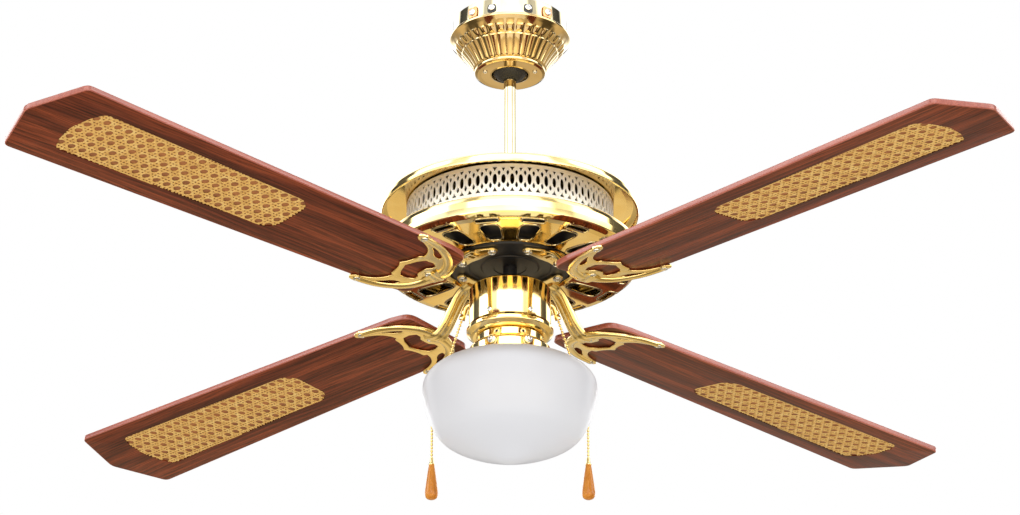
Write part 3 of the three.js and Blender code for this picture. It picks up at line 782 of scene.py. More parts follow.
def pierced(name, profile, thickness, cells, holes, material, grid=3, sharp=32):
    """A turned thin wall with holes. Each hole is a list of (degrees from the cell's middle, distance down
    the profile), and the cells repeat round the axis."""
    lengths = [0.0]
    for a, b in zip(profile, profile[1:]):
        lengths.append(lengths[-1] + math.dist(a, b))
    total = lengths[-1]
    half = 180 / cells
    stretch = total / (2 * half)

    def on_wall(degrees, down, depth):
        down = min(max(down, 0.0), total)
        i = max(k for k in range(len(lengths) - 1) if lengths[k] <= down + 1e-9)
        t = (down - lengths[i]) / (lengths[i + 1] - lengths[i])
        a = Vector(profile[i]).lerp(Vector(profile[i + 1]), t)
        before = Vector(profile[max(i - 1, 0)]) if t < 0.5 and i else Vector(profile[i])
        after = Vector(profile[i + 1])
        along = (after - before).normalized()
        r = a.x + along.y * depth
        angle = math.radians(degrees)
        return r * math.cos(angle), r * math.sin(angle), a.y - along.x * depth

    rows = sorted(set(round(x, 4) for x in lengths))
    columns = [-half + 2 * half * k / grid for k in range(grid + 1)]
    outline = [(-half, row) for row in rows]
    outline += [(x, total) for x in columns[1:-1]]
    outline += [(half, row) for row in reversed(rows)]
    outline += [(x, 0.0) for x in reversed(columns[1:-1])]
    right_border = len(rows) + grid - 1
    flat = [(x * stretch, y) for x, y in outline]
    flat_holes = [[(x * stretch, y) for x, y in hole] for hole in holes]
    extra = [(x * stretch, row) for row in rows[1:-1] for x in columns[1:-1]]
    cell_points, cell_faces = filled([flat, *flat_holes], extra)
    lookup = {}
    points = []
    faces = []

    def vertex(cell, i, side):
        """The number of a cell's point, on the front or the back. Neighbours share those on their border."""
        owner, own = cell, i
        if right_border <= i < right_border + len(rows):
            owner, own = (cell + 1) % cells, len(rows) - 1 - (i - right_border)
        key = (owner, own, side)
        if key not in lookup:
            lookup[key] = len(points)
            x, y = cell_points[i]
            points.append(on_wall(x / stretch + cell * 2 * half, y, thickness if side else 0.0))
        return lookup[key]

    open_edges = {}
    for cell in range(cells):
        for face in cell_faces:
            front = tuple(vertex(cell, i, 0) for i in face)
            back = tuple(vertex(cell, i, 1) for i in face)
            faces.append(front)
            faces.append(back[::-1])
            for k in range(3):
                n = (k + 1) % 3
                if (front[n], front[k]) in open_edges:
                    del open_edges[(front[n], front[k])]
                else:
                    open_edges[(front[k], front[n])] = (back[k], back[n])
    faces += [(b, a, c, d) for (a, b), (c, d) in open_edges.items()]
    return mesh_piece(name, points, outward(points, faces), material, sharp)


def ellipse(cx, cy, half_width, half_height, sides=14, point=0.0):
    """An ellipse, or a teardrop with its point at the top or bottom where point is 1 or -1."""
    out = []
    for k in range(sides):
        a = TAU * k / sides
        x = half_width * math.cos(a)
        y = half_height * math.sin(a)
        if point:
            x *= max(0.12, 1 - 0.75 * max(0.0, point * math.sin(a)))
        out.append((cx + x, cy + y))
    return out


def build_band():
    """The filigree band: tall ovals, with darts and drops above and below them."""
    cells = 38
    half = 180 / cells
    per_mm = 360 / (TAU * BAND_RADIUS)

    def dart(x, width, base, point):
        w = width * per_mm
        waist = base + 0.5 * (point - base)
        return [(x - w, base), (x + w, base), (x + 0.35 * w, waist), (x, point), (x - 0.35 * w, waist)]

    holes = []
    for x, tall in ((-0.75 * half, 6.6), (0.25 * half, 5.6)):
        holes.append(ellipse(x, 17.6, 2.3 * per_mm, tall, 16))
        holes.append(dart(x, 3.0, 32.2, 26.9))
    holes.append(dart(-0.75 * half, 3.0, 3.5, 8.6))
    holes.append(dart(0.25 * half, 2.3, 4.4, 9.0))
    for x in (-0.25 * half, 0.75 * half):
        holes.append(ellipse(x, 24.2, 1.55 * per_mm, 3.5, 12, -1))
        holes.append(ellipse(x, 10.6, 1.45 * per_mm, 3.2, 12, 1))
    profile = [(BAND_RADIUS, BAND_TOP), (BAND_RADIUS, -238), (BAND_RADIUS, -252), (BAND_RADIUS, BAND_BOTTOM)]
    piece = pierced("filigree_ring", profile, SHEET, cells, holes, CREAM, 6)
    place(piece, "hanging_fan", None, ["filigree_band"], "brass")


def softened(corners, reach, steps=5):
    """A closed outline with its corners rounded. Degrees and millimetres mix, so each side is cut back by the
    same part of its length."""
    mean_side = 12
    part = reach / mean_side
    out = []
    for i, corner in enumerate(corners):
        here = Vector(corner)
        back = Vector(corners[i - 1]) - here
        ahead = Vector(corners[(i + 1) % len(corners)]) - here
        out += bend(here + back * part, here, here + ahead * part, steps)
    return out


def build_housing():
    top = rounded([
        (14.4, -220.0), (30, -220.0, 2), (32, -220.8, 1.5), (88, -221.8, 4), (92, -221.0, 2),
        (126, -222.6, 4), (133, -222.8, 3), (139.0, -225.6, 3.5), (139.4, -231.0, 3), (138.6, -234.6, 1.4),
        (136.6, -234.4),
    ], 8)
    piece = turned("top_cover", backed(top, THIN_WALL), BRASS, 220)
    place(piece, "hanging_fan", None, ["housing_top_cover"], "brass")
    pan = rounded([
        (107.5, -266.3), (112.4, -266.3, 0.6), (114.5, -268.4, 1.5), (131, -271.2, 4), (137.4, -273.6, 3),
        (139.0, -279.0, 4), (138.9, -286.0, 4), (137.6, -292.6, 4), (133.2, -296.4, 3), (126.0, -297.3, 3),
        (104, -296.8), (98, -296.6), (75, -295.8), (71.5, -296.4, 1), (HOUSING_HOLE, -294.6),
    ], 6)

    # The windows are in the flat face, where the distance down the profile follows the radius.
    to_face = 0.0
    for a, b in zip(pan, pan[1:]):
        if b[0] < 127 and b[1] < -296:
            break
        to_face += math.dist(a, b)
    face_radius = a[0]

    def window(inner, outer, half_inner, half_outer, corner):
        near = to_face + face_radius - inner
        far = to_face + face_radius - outer
        shape = [(-half_outer, far), (half_outer, far), (half_inner, near), (-half_inner, near)]
        return softened(shape, corner)

    def on_pan(degrees, distance):
        radius = face_radius + to_face - distance
        for (r0, z0), (r1, z1) in zip(pan, pan[1:]):
            if r1 <= radius <= r0:
                height = z0 + (z1 - z0) * (r0 - radius) / max(r0 - r1, 1e-9)
                break
        angle = math.radians(degrees)
        return (radius * math.cos(angle), radius * math.sin(angle), height)

    holes = [window(75, 115.5, 6.0, 5.7, 3.8), window(121.5, 130.5, 5.7, 5.7, 3.0)]
    between_ribs = TAU / 2 / PAN_SECTORS
    piece = pierced("bottom_cover", pan, THIN_WALL, PAN_SECTORS, holes, BRASS, 12, 40)
    place(piece, "hanging_fan", around(between_ribs), ["housing_bottom_cover"], "brass")
    rims = []
    for hole in holes:
        middle = sum((Vector(p) for p in hole), Vector((0, 0))) / len(hole)
        path = [on_pan(*(middle + (Vector(p) - middle) * 1.03)) for p in hole]
        rim = swept(path + path[:1], circle(1.1, 10, 0.8))
        rims += [moved(rim, around(between_ribs + TAU * k / PAN_SECTORS)) for k in range(PAN_SECTORS)]
    piece = mesh_piece("bottom_cover_rims", *joined(rims), PALE)
    place(piece, "hanging_fan", None, (), "brass")


def build_rotor():
    shell = rounded([
        (17.5, ROTOR_FACE), (30, ROTOR_FACE, 1), (31.5, ROTOR_FACE + 1.5, 1), (43, ROTOR_FACE + 1.5, 1),
        (44.5, ROTOR_FACE, 1), (64.5, ROTOR_FACE, 1), (66, ROTOR_FACE + 1.5, 1), (66, -289, 2),
        (100, -285, 3), (100, -241, 2), (17.5, -241), (17.5, -253), (22, -253), (22, -245), (96, -245, 2),
        (96, -281, 2), (22, -284), (17.5, -284),
    ])
    place(turned("rotor_body", shell, BLACK, 144, 30), "rotor", None, ["rotor_shell"], "black_enamel")


# ---- Blades and irons -----------------------------------------------------------------------


def mirrored_loop(half, tip):
    """A rounded outline, from the corners (x, y, fillet) on one side of the middle line and the tip."""
    other = [(x, -y, fillet) for x, y, fillet in half[::-1]]
    return anticlockwise(rounded([*half, tip, *other], 6, True))


def blade_outline():
    half = [
        (BLADE_ROOT, -(BLADE_ROOT_HALF - 4), 26),
        (BLADE_ROOT + 26, -(BLADE_ROOT_HALF + 0.6), 30),
        (BLADE_CORNER, -BLADE_TIP_HALF, 9),
    ]
    return mirrored_loop(half, (BLADE_TIP, 0, 16))


def cane_outline():
    half = [
        (CANE_INNER + 1, -23, 16),
        (CANE_INNER + 14, -32.5, 16),
        (CANE_OUTER - 13, -39.5, 10),
        (CANE_OUTER - 5, -24, 14),
    ]
    return mirrored_loop(half, (CANE_OUTER, 0, 30))


def blade_mesh():
    """A board with a rounded edge and a shallow pocket underneath for the cane."""
    half = BLADE_THICKNESS / 2
    outline = blade_outline()
    count = len(outline)
    levels = edge_levels(-half, half, 1.1, 4)
    points = [(x, y, z) for distance, z in levels for x, y in inset(outline, distance)]
    faces = strip(len(levels), count)
    banded = len(faces)
    start = len(points)
    faces.append(tuple(range(start - count, start)))
    pocket = cane_outline()
    size = len(pocket)
    points += [(x, y, -half) for x, y in pocket]
    points += [(x, y, -half + POCKET) for x, y in pocket]
    _, under_faces = filled([inset(outline, levels[0][0]), pocket])
    faces += [tuple(i if i < count else start + i - count for i in face)[::-1] for face in under_faces]
    faces += [face[::-1] for face in strip(2, size, start)]
    faces.append(tuple(range(start + size, start + 2 * size))[::-1])
    return points, faces, [1] * banded + [0] * (len(faces) - banded)


CANE_CELL = 13.6
STRAND_HALF = 1.05


def clipped(start, end, outline):
    """The stretches of a straight line that lie inside an outline."""
    a = Vector(start)
    run = Vector(end) - a
    cuts = []
    for p, q in zip(outline, outline[1:] + outline[:1]):
        edge = Vector(q) - Vector(p)
        cross = run.x * edge.y - run.y * edge.x
        if abs(cross) < 1e-9:
            continue
        gap = Vector(p) - a
        t = (gap.x * edge.y - gap.y * edge.x) / cross
        u = (gap.x * run.y - gap.y * run.x) / cross
        if 0 <= u < 1 and 0 <= t <= 1:
            cuts.append(t)
    cuts.sort()
    return [(tuple(a + run * s), tuple(a + run * e)) for s, e in zip(cuts[::2], cuts[1::2])]


def strand(start, end, level, wave, phase):
    """One flat half-round strand of cane, weaving over and under."""
    a = Vector(start)
    b = Vector(end)
    length = (b - a).length
    steps = max(2, int(length / 2.6))
    path = []
    for i in range(steps + 1):
        t = i / steps
        spot = a.lerp(b, t)
        lift = wave * math.sin(TAU * (length * t / CANE_CELL + phase))
        path.append((spot.x, spot.y, level + lift))
    w = STRAND_HALF
    return swept(path, [(-w, 0.16), (w, 0.16), (0.75 * w, -0.12), (0.3 * w, -0.24), (-0.3 * w, -0.24),
                        (-0.75 * w, -0.12)])


def cane_mesh():
    """Woven cane over its backing sheet: pairs of strands along and across, with two diagonals."""
    half = BLADE_THICKNESS / 2
    outline = inset(cane_outline(), 0.35)
    middle_level = -half + 0.62
    strands = []
    low_x, high_x = CANE_INNER - 5, CANE_OUTER + 5
    low_y, high_y = -45, 45

    def lay(start, end, level, wave, phase):
        for a, b in clipped(start, end, outline):
            if math.dist(a, b) > 3:
                strands.append(strand(a, b, level, wave, phase))

    pair = 1.95
    count_x = int((high_x - low_x) / CANE_CELL) + 2
    for k in range(-4, 5):
        for side in (-1, 1):
            y = (k + 0.5) * CANE_CELL + side * pair
            lay((low_x, y), (high_x, y), middle_level - 0.16, 0.10, 0.25 * side)
    for k in range(count_x):
        for side in (-1, 1):
            x = low_x + (k + 0.5) * CANE_CELL + side * pair
            lay((x, low_y), (x, high_y), middle_level + 0.20, 0.08, 0.25 * side)
    reach = high_y - low_y
    for k in range(-8, count_x + 8):
        x = low_x + (k + 0.5) * CANE_CELL
        base_y = -3 * CANE_CELL
        lay((x - reach, base_y - reach), (x + reach, base_y + reach), middle_level - 0.02, 0.16, 0.0)
        lay((x - reach, base_y + reach), (x + reach, base_y - reach), middle_level + 0.04, 0.16, 0.5)
    sheet = plate(outline, [], -half + POCKET - 0.45, -half + POCKET - 0.05, 0.1, 1)
    points, faces = joined([*strands, sheet])
    sheeted = len(sheet[1])
    return points, faces, [0] * (len(faces) - sheeted) + [1] * sheeted


IRON_TOP = -BLADE_THICKNESS / 2 - 0.3
BLADE_SCREWS = ((121.5, 0), (176.5, 51.4), (176.5, -51.4))
FOOT_SCREW_RADIUS = 53.9
FOOT_SCREW_ANGLE = math.radians(24.4)


def crescent_outline():
    """The pierced crescent, from its root round one arm, in to the cusp, and back."""
    back = [(103, 0), (104.5, 10), (110, 23), (119, 34.5), (132, 44), (150, 50.5), (168, 54.6)]
    tip = [(168, 54.6), (178, 56.6), (184.2, 55.2), (185.6, 51.0), (181, 47.0)]
    bay = [(181, 47.0), (171, 44.6), (160, 38.8), (153, 30.6), (150.6, 23.2)]
    point = [(150.6, 23.2), (154.6, 21.6), (155.6, 15), (158.4, 6.8), (162.6, 0.8), (162.8, 0)]
    half = smooth_line(back, 5)[:-1] + smooth_line(tip, 5)[:-1] + smooth_line(bay, 5)[:-1]
    half += smooth_line(point, 4)
    cleaned = []
    for x, y in half:
        if not cleaned or math.dist(cleaned[-1], (x, y)) > 0.35:
            cleaned.append((x, max(y, 0.0)))
    return anticlockwise(both_sides(cleaned))


def crescent_windows():
    middle = both_sides([(131.5, 0), (131, 6.4), (126.5, 10.8), (126.6, 16.5), (134, 19.8), (143.6, 19.2),
                         (149.2, 12.4), (152.4, 4.6), (154.6, 0)])
    arm = [(133.6, 30.4), (139.4, 30.6), (145.2, 33.6), (150.0, 38.4), (156.6, 43.4), (149.4, 42.9),
           (142.0, 40.4), (136.2, 36.2)]
    loops = [anticlockwise(middle)]
    for side in (1, -1):
        loop = smooth_line([(x, side * y) for x, y in arm], 4, True)
        loops.append(anticlockwise(loop))
    return loops


def iron_mesh():
    """A cast blade iron: foot, ribbed arm, and the crescent with its raised rim, as one piece."""
    parts = []
    bottom = IRON_TOP - 3.4
    tilt = Matrix.Translation((0, 0, BLADE_PLANE_Z)) @ Matrix.Rotation(BLADE_PITCH, 4, "X")
    crescent = plate(crescent_outline(), crescent_windows(), bottom + 0.9, IRON_TOP, 0.8, 4)
    parts.append(moved(crescent, tilt))
    for side in (-1, 1):
        back = smooth_line([(112, side * 4), (114.5, side * 17), (121.5, side * 29.5), (133.5, side * 39.5),
                            (151, side * 47.6), (170, side * 51.2), (178, side * 51.4)], 6)
        taper = [(x, y, bottom + 1.1) for x, y in back]
        count = len(taper)
        sections = [circle(5.8 - 2.2 * i / (count - 1), 20, 0.52) for i in range(count)]
        parts.append(moved(swept(taper, sections), tilt))
    boss_profile = rounded([
        (0, bottom + 0.5), (6.0, bottom + 0.5, 0.5), (6.9, bottom + 1.3, 0.3), (6.9, IRON_TOP), (0, IRON_TOP),
    ])
    for x, y in BLADE_SCREWS:
        scale = 1.0 if y == 0 else 0.78
        boss = turned_mesh([(r * scale, z) for r, z in boss_profile], 32)
        parts.append(moved(boss, tilt @ Matrix.Translation((x, y, 0))))
    foot_top = ROTOR_FACE - 0.3
    lobe_x = FOOT_SCREW_RADIUS * math.cos(FOOT_SCREW_ANGLE)
    lobe_y = FOOT_SCREW_RADIUS * math.sin(FOOT_SCREW_ANGLE)
    foot = both_sides(smooth_line([(lobe_x - 5, 0), (lobe_x - 4.2, lobe_y - 10), (lobe_x - 5.6, lobe_y - 1),
                                   (lobe_x - 2.8, lobe_y + 5.6), (lobe_x + 3.6, lobe_y + 5.4),
                                   (lobe_x + 8.2, lobe_y - 2), (lobe_x + 13, 10.5), (lobe_x + 15, 0)], 4))
    parts.append(plate(foot, [], foot_top - 3.0, foot_top, 0.6))
    centre = smooth_line([
        (55, 0, foot_top - 3.2), (66, 0, foot_top - 4.0), (77, 0, foot_top - 11.0), (87, 0, foot_top - 23.5),
        (97, 0, foot_top - 37.0), (108, 0, BLADE_PLANE_Z - 5.6), (121, 0, BLADE_PLANE_Z - 5.6),
    ], 6)
    sections = []
    for i in range(len(centre)):
        t = i / (len(centre) - 1)
        width = 10.6 - 1.6 * math.sin(math.pi * t) + (2.0 * max(0, t - 0.75) / 0.25)
        thick = 2.5 + 1.6 * math.sin(math.pi * t)
        section = []
        for x, y in circle(1.0, 40):
            ridge = 1 + 0.16 * math.cos(3 * math.pi * x) if y < 0 else 1.0
            section.append((width * x, thick * ridge * math.copysign(abs(y) ** 0.75, y)))
        sections.append(section)
    parts.append(swept(centre, sections))
    return joined(parts)


def build_blades():
    *blade_shape, blade_kinds = blade_mesh()
    *cane_shape, cane_kinds = cane_mesh()
    firsts = [
        mesh_piece("blade_board_1", *blade_shape, [WOOD, EDGE], 40, blade_kinds),
        mesh_piece("cane_weave_1", *cane_shape, [CANE, BACKING], 60, cane_kinds),
        mesh_piece("iron_casting_1", *iron_mesh(), CAST, 40),
    ]
    blade_screws = []
    foot_screws = []
    for k in range(BLADE_COUNT):
        number = k + 1
        angle = math.pi / 4 + TAU * k / BLADE_COUNT
        level = spoke(angle)
        pitched = spoke(angle, BLADE_PLANE_Z, BLADE_PITCH)
        blade, cane, iron = [linked(f"{f.name[:-1]}{number}", f.data) for f in firsts] if k else firsts
        place(blade, "rotor", pitched, [f"blade_{number}"], "wood")
        place(cane, "rotor", pitched, [f"cane_panel_{number}"], "cane")
        place(iron, "rotor", level, [f"blade_iron_{number}"], "cast_brass")
        for j, (x, y) in enumerate(BLADE_SCREWS):
            spot = pitched @ Matrix.Translation((x * MM, y * MM, (IRON_TOP - 2.9) * MM))
            blade_screws.append((f"blade_screw_{number}_{j + 1}", spot @ UPSIDE_DOWN @ around(j + k), ()))
        for j, side in enumerate((-1, 1)):
            out = Matrix.Translation((FOOT_SCREW_RADIUS * MM, 0, (ROTOR_FACE - 3.3) * MM))
            spot = around(angle + side * FOOT_SCREW_ANGLE) @ out @ around(-side * FOOT_SCREW_ANGLE)
            foot_screws.append((f"foot_screw_{number}_{j + 1}", spot @ UPSIDE_DOWN @ around(j), ()))
    shared_screws("blade_screw_mesh", (3.9, 1.5, 1.7), "rotor", "steel", blade_screws)
    shared_screws("foot_screw_mesh", (4.6, 2.8, 2.0), "rotor", "steel", foot_screws)


# ---- Switch housing and light kit -----------------------------------------------------------


def build_switch_housing():
    cup = backed(rounded([
        (7.8, CUP_TOP), (40.5, CUP_TOP, 1.2), (CUP_RADIUS, CUP_TOP - 2.6, 2.4),
        (CUP_RADIUS, CUP_BOTTOM + 0.2),
    ], 8), THIN_WALL)
    place(turned("switch_cup", cup, BRASS, 160), "hanging_fan", None, ["switch_housing"], "brass")
    flare = backed(rounded([
        (CUP_RADIUS - 2.0, CUP_BOTTOM - 0.4), (CUP_RADIUS + 0.9, CUP_BOTTOM - 0.4, 0.8),
        (CUP_RADIUS + 2.9, CUP_BOTTOM - 4.0, 1.6), (CUP_RADIUS + 2.6, CUP_BOTTOM - 7.6, 2.2),
        (CUP_RADIUS - 1.4, CUP_BOTTOM - 11.4, 3), (39.4, CUP_BOTTOM - 12.6, 1), (36.0, CUP_BOTTOM - 12.9, 1),
        (10.5, CUP_BOTTOM - 12.9),
    ], 7), THIN_WALL)
    place(turned("trim_flare", flare, BRASS, 160), "hanging_fan", None, ["trim_ring"], "brass")
    places = []
    for k, degrees in enumerate((30, -30, 150, -150)):
        matrix = radial(FRONT + math.radians(degrees), CUP_RADIUS + 0.2, -360, 0.4 + k)
        places.append((f"cup_screw_head_{k + 1}", matrix, [f"switch_housing_screw_{k + 1}"]))
    shared_screws("cup_screw_mesh", (2.9, 1.7, 1.5), "hanging_fan", "steel", places)


def build_fitter():
    """The gallery that holds the globe, with a row of eyelets round it."""
    deck = CUP_BOTTOM - 13.3
    fitter = backed(rounded([
        (10.5, deck), (35.4, deck, 0.8), (36.5, deck - 1.2, 0.8), (36.5, deck - 8.4, 1.6),
        (38.2, deck - 10.6, 2.0), (42.8, deck - 12.6, 2.2), (44.0, deck - 15.0, 1.6), (44.0, -402.6, 0.6),
        (44.6, -403.4, 0.5), (43.8, -404.0),
    ], 7), THIN_WALL)
    place(turned("fitter_gallery", fitter, BRASS, 160), "hanging_fan", None, ["light_fitter"], "brass")
    eyelets = 8
    for k in range(eyelets):
        spot = radial(FRONT + TAU * (k + 0.5) / eyelets, 36.4, deck - 5)
        ring = rounded([(1.6, 0), (1.6, 0.7, 0.3), (2.4, 0.9, 0.4), (3.0, 0.4, 0.3), (3.0, 0)])
        place(turned(f"fitter_eyelet_{k + 1}", ring, BRASS, 32), "hanging_fan", spot, (), "brass")
        # A black disc in each eyelet: painted shade for the dark inside of its hole
        hole_shade = [(0, 0), (1.55, 0), (1.55, 0.25), (0, 0.25)]
        place(turned(f"eyelet_hole_{k + 1}", hole_shade, BLACK, 24), "hanging_fan", spot, (), "black_enamel")


def build_globe():
    """The bowl's outer and inner walls each end on the axis, and meet at the rim of the neck."""
    outer = [(40.4, -393.0), (41.0, -393.4), (41.2, -394.6), (40.9, -397), (40.9, -404.6)]
    outer += smooth_line([
        (40.9, -404.6), (43.6, -406.8), (52, -408.4), (63, -410.8), (75, -415.2), (84.4, -421.0),
        (90.4, -428.0), (92.3, -435.0), (91.6, -444), (89.6, -455), (86.4, -467), (81.0, -479.5),
        (72.6, -490.2), (60.0, -497.8), (44, -504.6), (26, -511.6), (11, -517.4), (0, GLOBE_TIP),
    ], 4)
    inner = behind(outer, GLASS, 0.4)[:-1] + [(0, GLOBE_TIP + GLASS * 1.1)]
    globe = turned("globe_of_glass", outer[::-1] + inner, OPAL, 192, 50)
    place(globe, "hanging_fan", None, ["glass_globe"], "opal_glass")


def build_thumbscrews():
    """Each has a knurled rim on its head."""
    head = rounded([
        (0, -2.2), (1.7, -2.2), (1.7, 0.4), (4.0, 0.4, 0.4), (4.2, 2.8, 0.4), (2.6, 3.6, 0.5),
        (2.3, 5.8, 0.4), (0, 6.2),
    ])
    knurls = 24

    def knurled(angle, i):
        on_rim = 5 < i < 14
        return 0.16 * math.cos(knurls * angle) if on_rim else 0.0

    for k, degrees in enumerate((25, -25, 155, -155)):
        piece = turned(f"thumbscrew_head_{k + 1}", head, STEEL, 3 * knurls, 30, knurled)
        spot = radial(FRONT + math.radians(degrees), 44.2, -396)
        place(piece, f"thumbscrew_{k + 1}", spot, [f"thumbscrew_{k + 1}"], "steel")


# ---- Pull chains ----------------------------------------------------------------------------


def chain_slope():
    out = CHAIN_HANG - CHAIN_MOUTH[0]
    down = CHAIN_BEND - CHAIN_MOUTH[1]
    return Vector((out, down)).normalized()


def chain_route():
    """The chain's centreline as (radius, height), from inside the nozzle to the fob."""
    slope = chain_slope()
    hidden = 9
    turn = 8
    start = Vector(CHAIN_MOUTH) - slope * hidden
    corner = Vector((CHAIN_HANG, CHAIN_BEND))
    turn_start = corner - slope * turn
    turn_end = corner - Vector((0, turn))
    route = [tuple(start.lerp(turn_start, k / 24)) for k in range(24)]
    route += bend(turn_start, corner, turn_end, 8)
    route += [(CHAIN_HANG, turn_end.y + (CHAIN_END - turn_end.y) * k / 16) for k in range(1, 17)]
    return route


def walked(route, step):
    """A point every step along a route, from its start."""
    out = [route[0]]
    left = step
    for a, b in zip(route, route[1:]):
        span = math.dist(a, b)
        done = 0.0
        while span - done >= left:
            done += left
            out.append(tuple(Vector(a).lerp(Vector(b), done / span)))
            left = step
        left -= span - done
    return out


def ball(centre, radius, rings=7, sides=12):
    """A sphere with a point at each pole and rings of points between them."""
    x, y, z = centre
    points = [(x, y, z + radius)]
    for i in range(1, rings):
        a = math.pi * i / rings
        for j in range(sides):
            b = TAU * j / sides
            out = radius * math.sin(a)
            points.append((x + out * math.cos(b), y + out * math.sin(b), z + radius * math.cos(a)))
    points.append((x, y, z - radius))
    faces = []
    last = 1 + (rings - 2) * sides
    for j in range(sides):
        n = (j + 1) % sides
        faces.append((0, 1 + j, 1 + n))
        faces.append((last + n, last + j, len(points) - 1))
        for a in range(1, last, sides):
            faces.append((a + j, a + sides + j, a + sides + n, a + n))
    return points, faces


def build_chain(side, angle, body):
    """Beads on a wire, with a small bell and a turned fob at the end."""
    def at(radius, height):
        return radius * math.cos(angle), radius * math.sin(angle), height

    route = chain_route()
    parts = [ball(at(*bead), CHAIN_WIDTH / 2) for bead in walked(route, 3.9)]
    wire = [at(*p) for p in route]
    parts.append(swept(wire, circle(0.55, 8), True, Vector((-math.sin(angle), math.cos(angle), 0))))
    chain = mesh_piece(f"bead_chain_{side}", *joined(parts), BRASS, 80)
    place(chain, body, None, [f"pull_chain_{side}"], "brass")
    x, y, _ = at(CHAIN_HANG, 0)
    spot = Matrix.Translation((x * MM, y * MM, 0))
    bell_profile = rounded([(0, CHAIN_END + 3.6), (1.9, CHAIN_END + 3.4, 0.4), (2.2, CHAIN_END - 1.0, 0.6),
                            (3.3, CHAIN_END - 3.4, 0.4), (3.3, CHAIN_END - 4.2, 0.2), (0, CHAIN_END - 4.2)])
    bell = turned(f"fob_bell_{side}", bell_profile, BRASS, 40)
    place(bell, body, spot, (), "brass")
    fob_profile = [(0, CHAIN_END - 3.6)] + smooth_line([
        (2.9, CHAIN_END - 3.6), (3.4, CHAIN_END - 7), (4.4, CHAIN_END - 14), (5.6, CHAIN_END - 23),
        (6.7, CHAIN_END - 31.5), (7.1, CHAIN_END - 36.5), (6.3, CHAIN_END - 40.4), (3.6, CHAIN_END - 42.6),
        (0.6, CHAIN_END - 43),
    ], 5) + [(0, CHAIN_END - 43)]
    fob = turned(f"wooden_fob_{side}", fob_profile, FOB, 56)
    place(fob, body, spot, [f"chain_fob_{side}"], "fob_wood")


def build_nozzle(side, angle):
    """A curved tube with a ringed mouth."""
    slope = chain_slope()
    mouth = Vector(CHAIN_MOUTH)
    turn = mouth - slope * 13
    path = bend(Vector((CUP_RADIUS + 0.3, turn.y + 3.6)), turn - slope * 3, turn, 12)
    path += [tuple(turn.lerp(mouth, k / 8)) for k in range(1, 9)]
    points = [(radius * math.cos(angle), radius * math.sin(angle), height) for radius, height in path]
    across = Vector((-math.sin(angle), math.cos(angle), 0))
    count = len(points)
    sides = 24
    radii = [3.1] * (count - 5) + [2.8] * 2 + [3.6] * 3
    skin, skin_faces = swept(points, [circle(radius, sides) for radius in radii], False, across)
    bore, bore_faces = swept(points, circle(2.4, sides), False, across)
    start = len(skin)
    faces = list(skin_faces) + [tuple(i + start for i in f)[::-1] for f in bore_faces]
    for base, flip in ((0, False), ((count - 1) * sides, True)):
        for k in range(sides):
            n = (k + 1) % sides
            quad = (base + k, start + base + k, start + base + n, base + n)
            faces.append(quad[::-1] if flip else quad)
    piece = mesh_piece(f"nozzle_{side}", skin + bore, faces, BRASS, 50)
    place(piece, "hanging_fan", None, [f"chain_nozzle_{side}"], "brass")


# ---- CAD pieces that stay -------------------------------------------------------------------


def paint_cad(material, *nodes):
    for name in nodes:
        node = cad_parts[name]
        node.data.materials.clear()
        node.data.materials.append(material)
        for polygon in node.data.polygons:
            polygon.material_index = 0


# ---- Studio ---------------------------------------------------------------------------------

MIDDLE = Vector((0, 0, -0.283))
VIEW_DOWN = math.radians(24.5)
VIEW_DISTANCE = 4.36
LENS = 143.5


def build_camera():
    camera = linked("camera", bpy.data.cameras.new("camera"))
    camera.data.lens = LENS
    camera.data.sensor_width = 36
    camera.data.clip_end = 100
    offset = Vector((0, -math.cos(VIEW_DOWN), -math.sin(VIEW_DOWN))) * VIEW_DISTANCE
    camera.location = MIDDLE + offset
    camera.rotation_euler = (-offset).to_track_quat("-Z", "Y").to_euler()
    bpy.context.scene.camera = camera


def area_light(name, spot, target, width, height, power):
    light = bpy.data.lights.new(name, "AREA")
    light.shape = "RECTANGLE"
    light.size = width
    light.size_y = height
    light.energy = power
    holder = linked(name, light)
    holder.location = spot
    holder.rotation_euler = (Vector(target) - Vector(spot)).to_track_quat("-Z", "Y").to_euler()
    holder.visible_camera = False


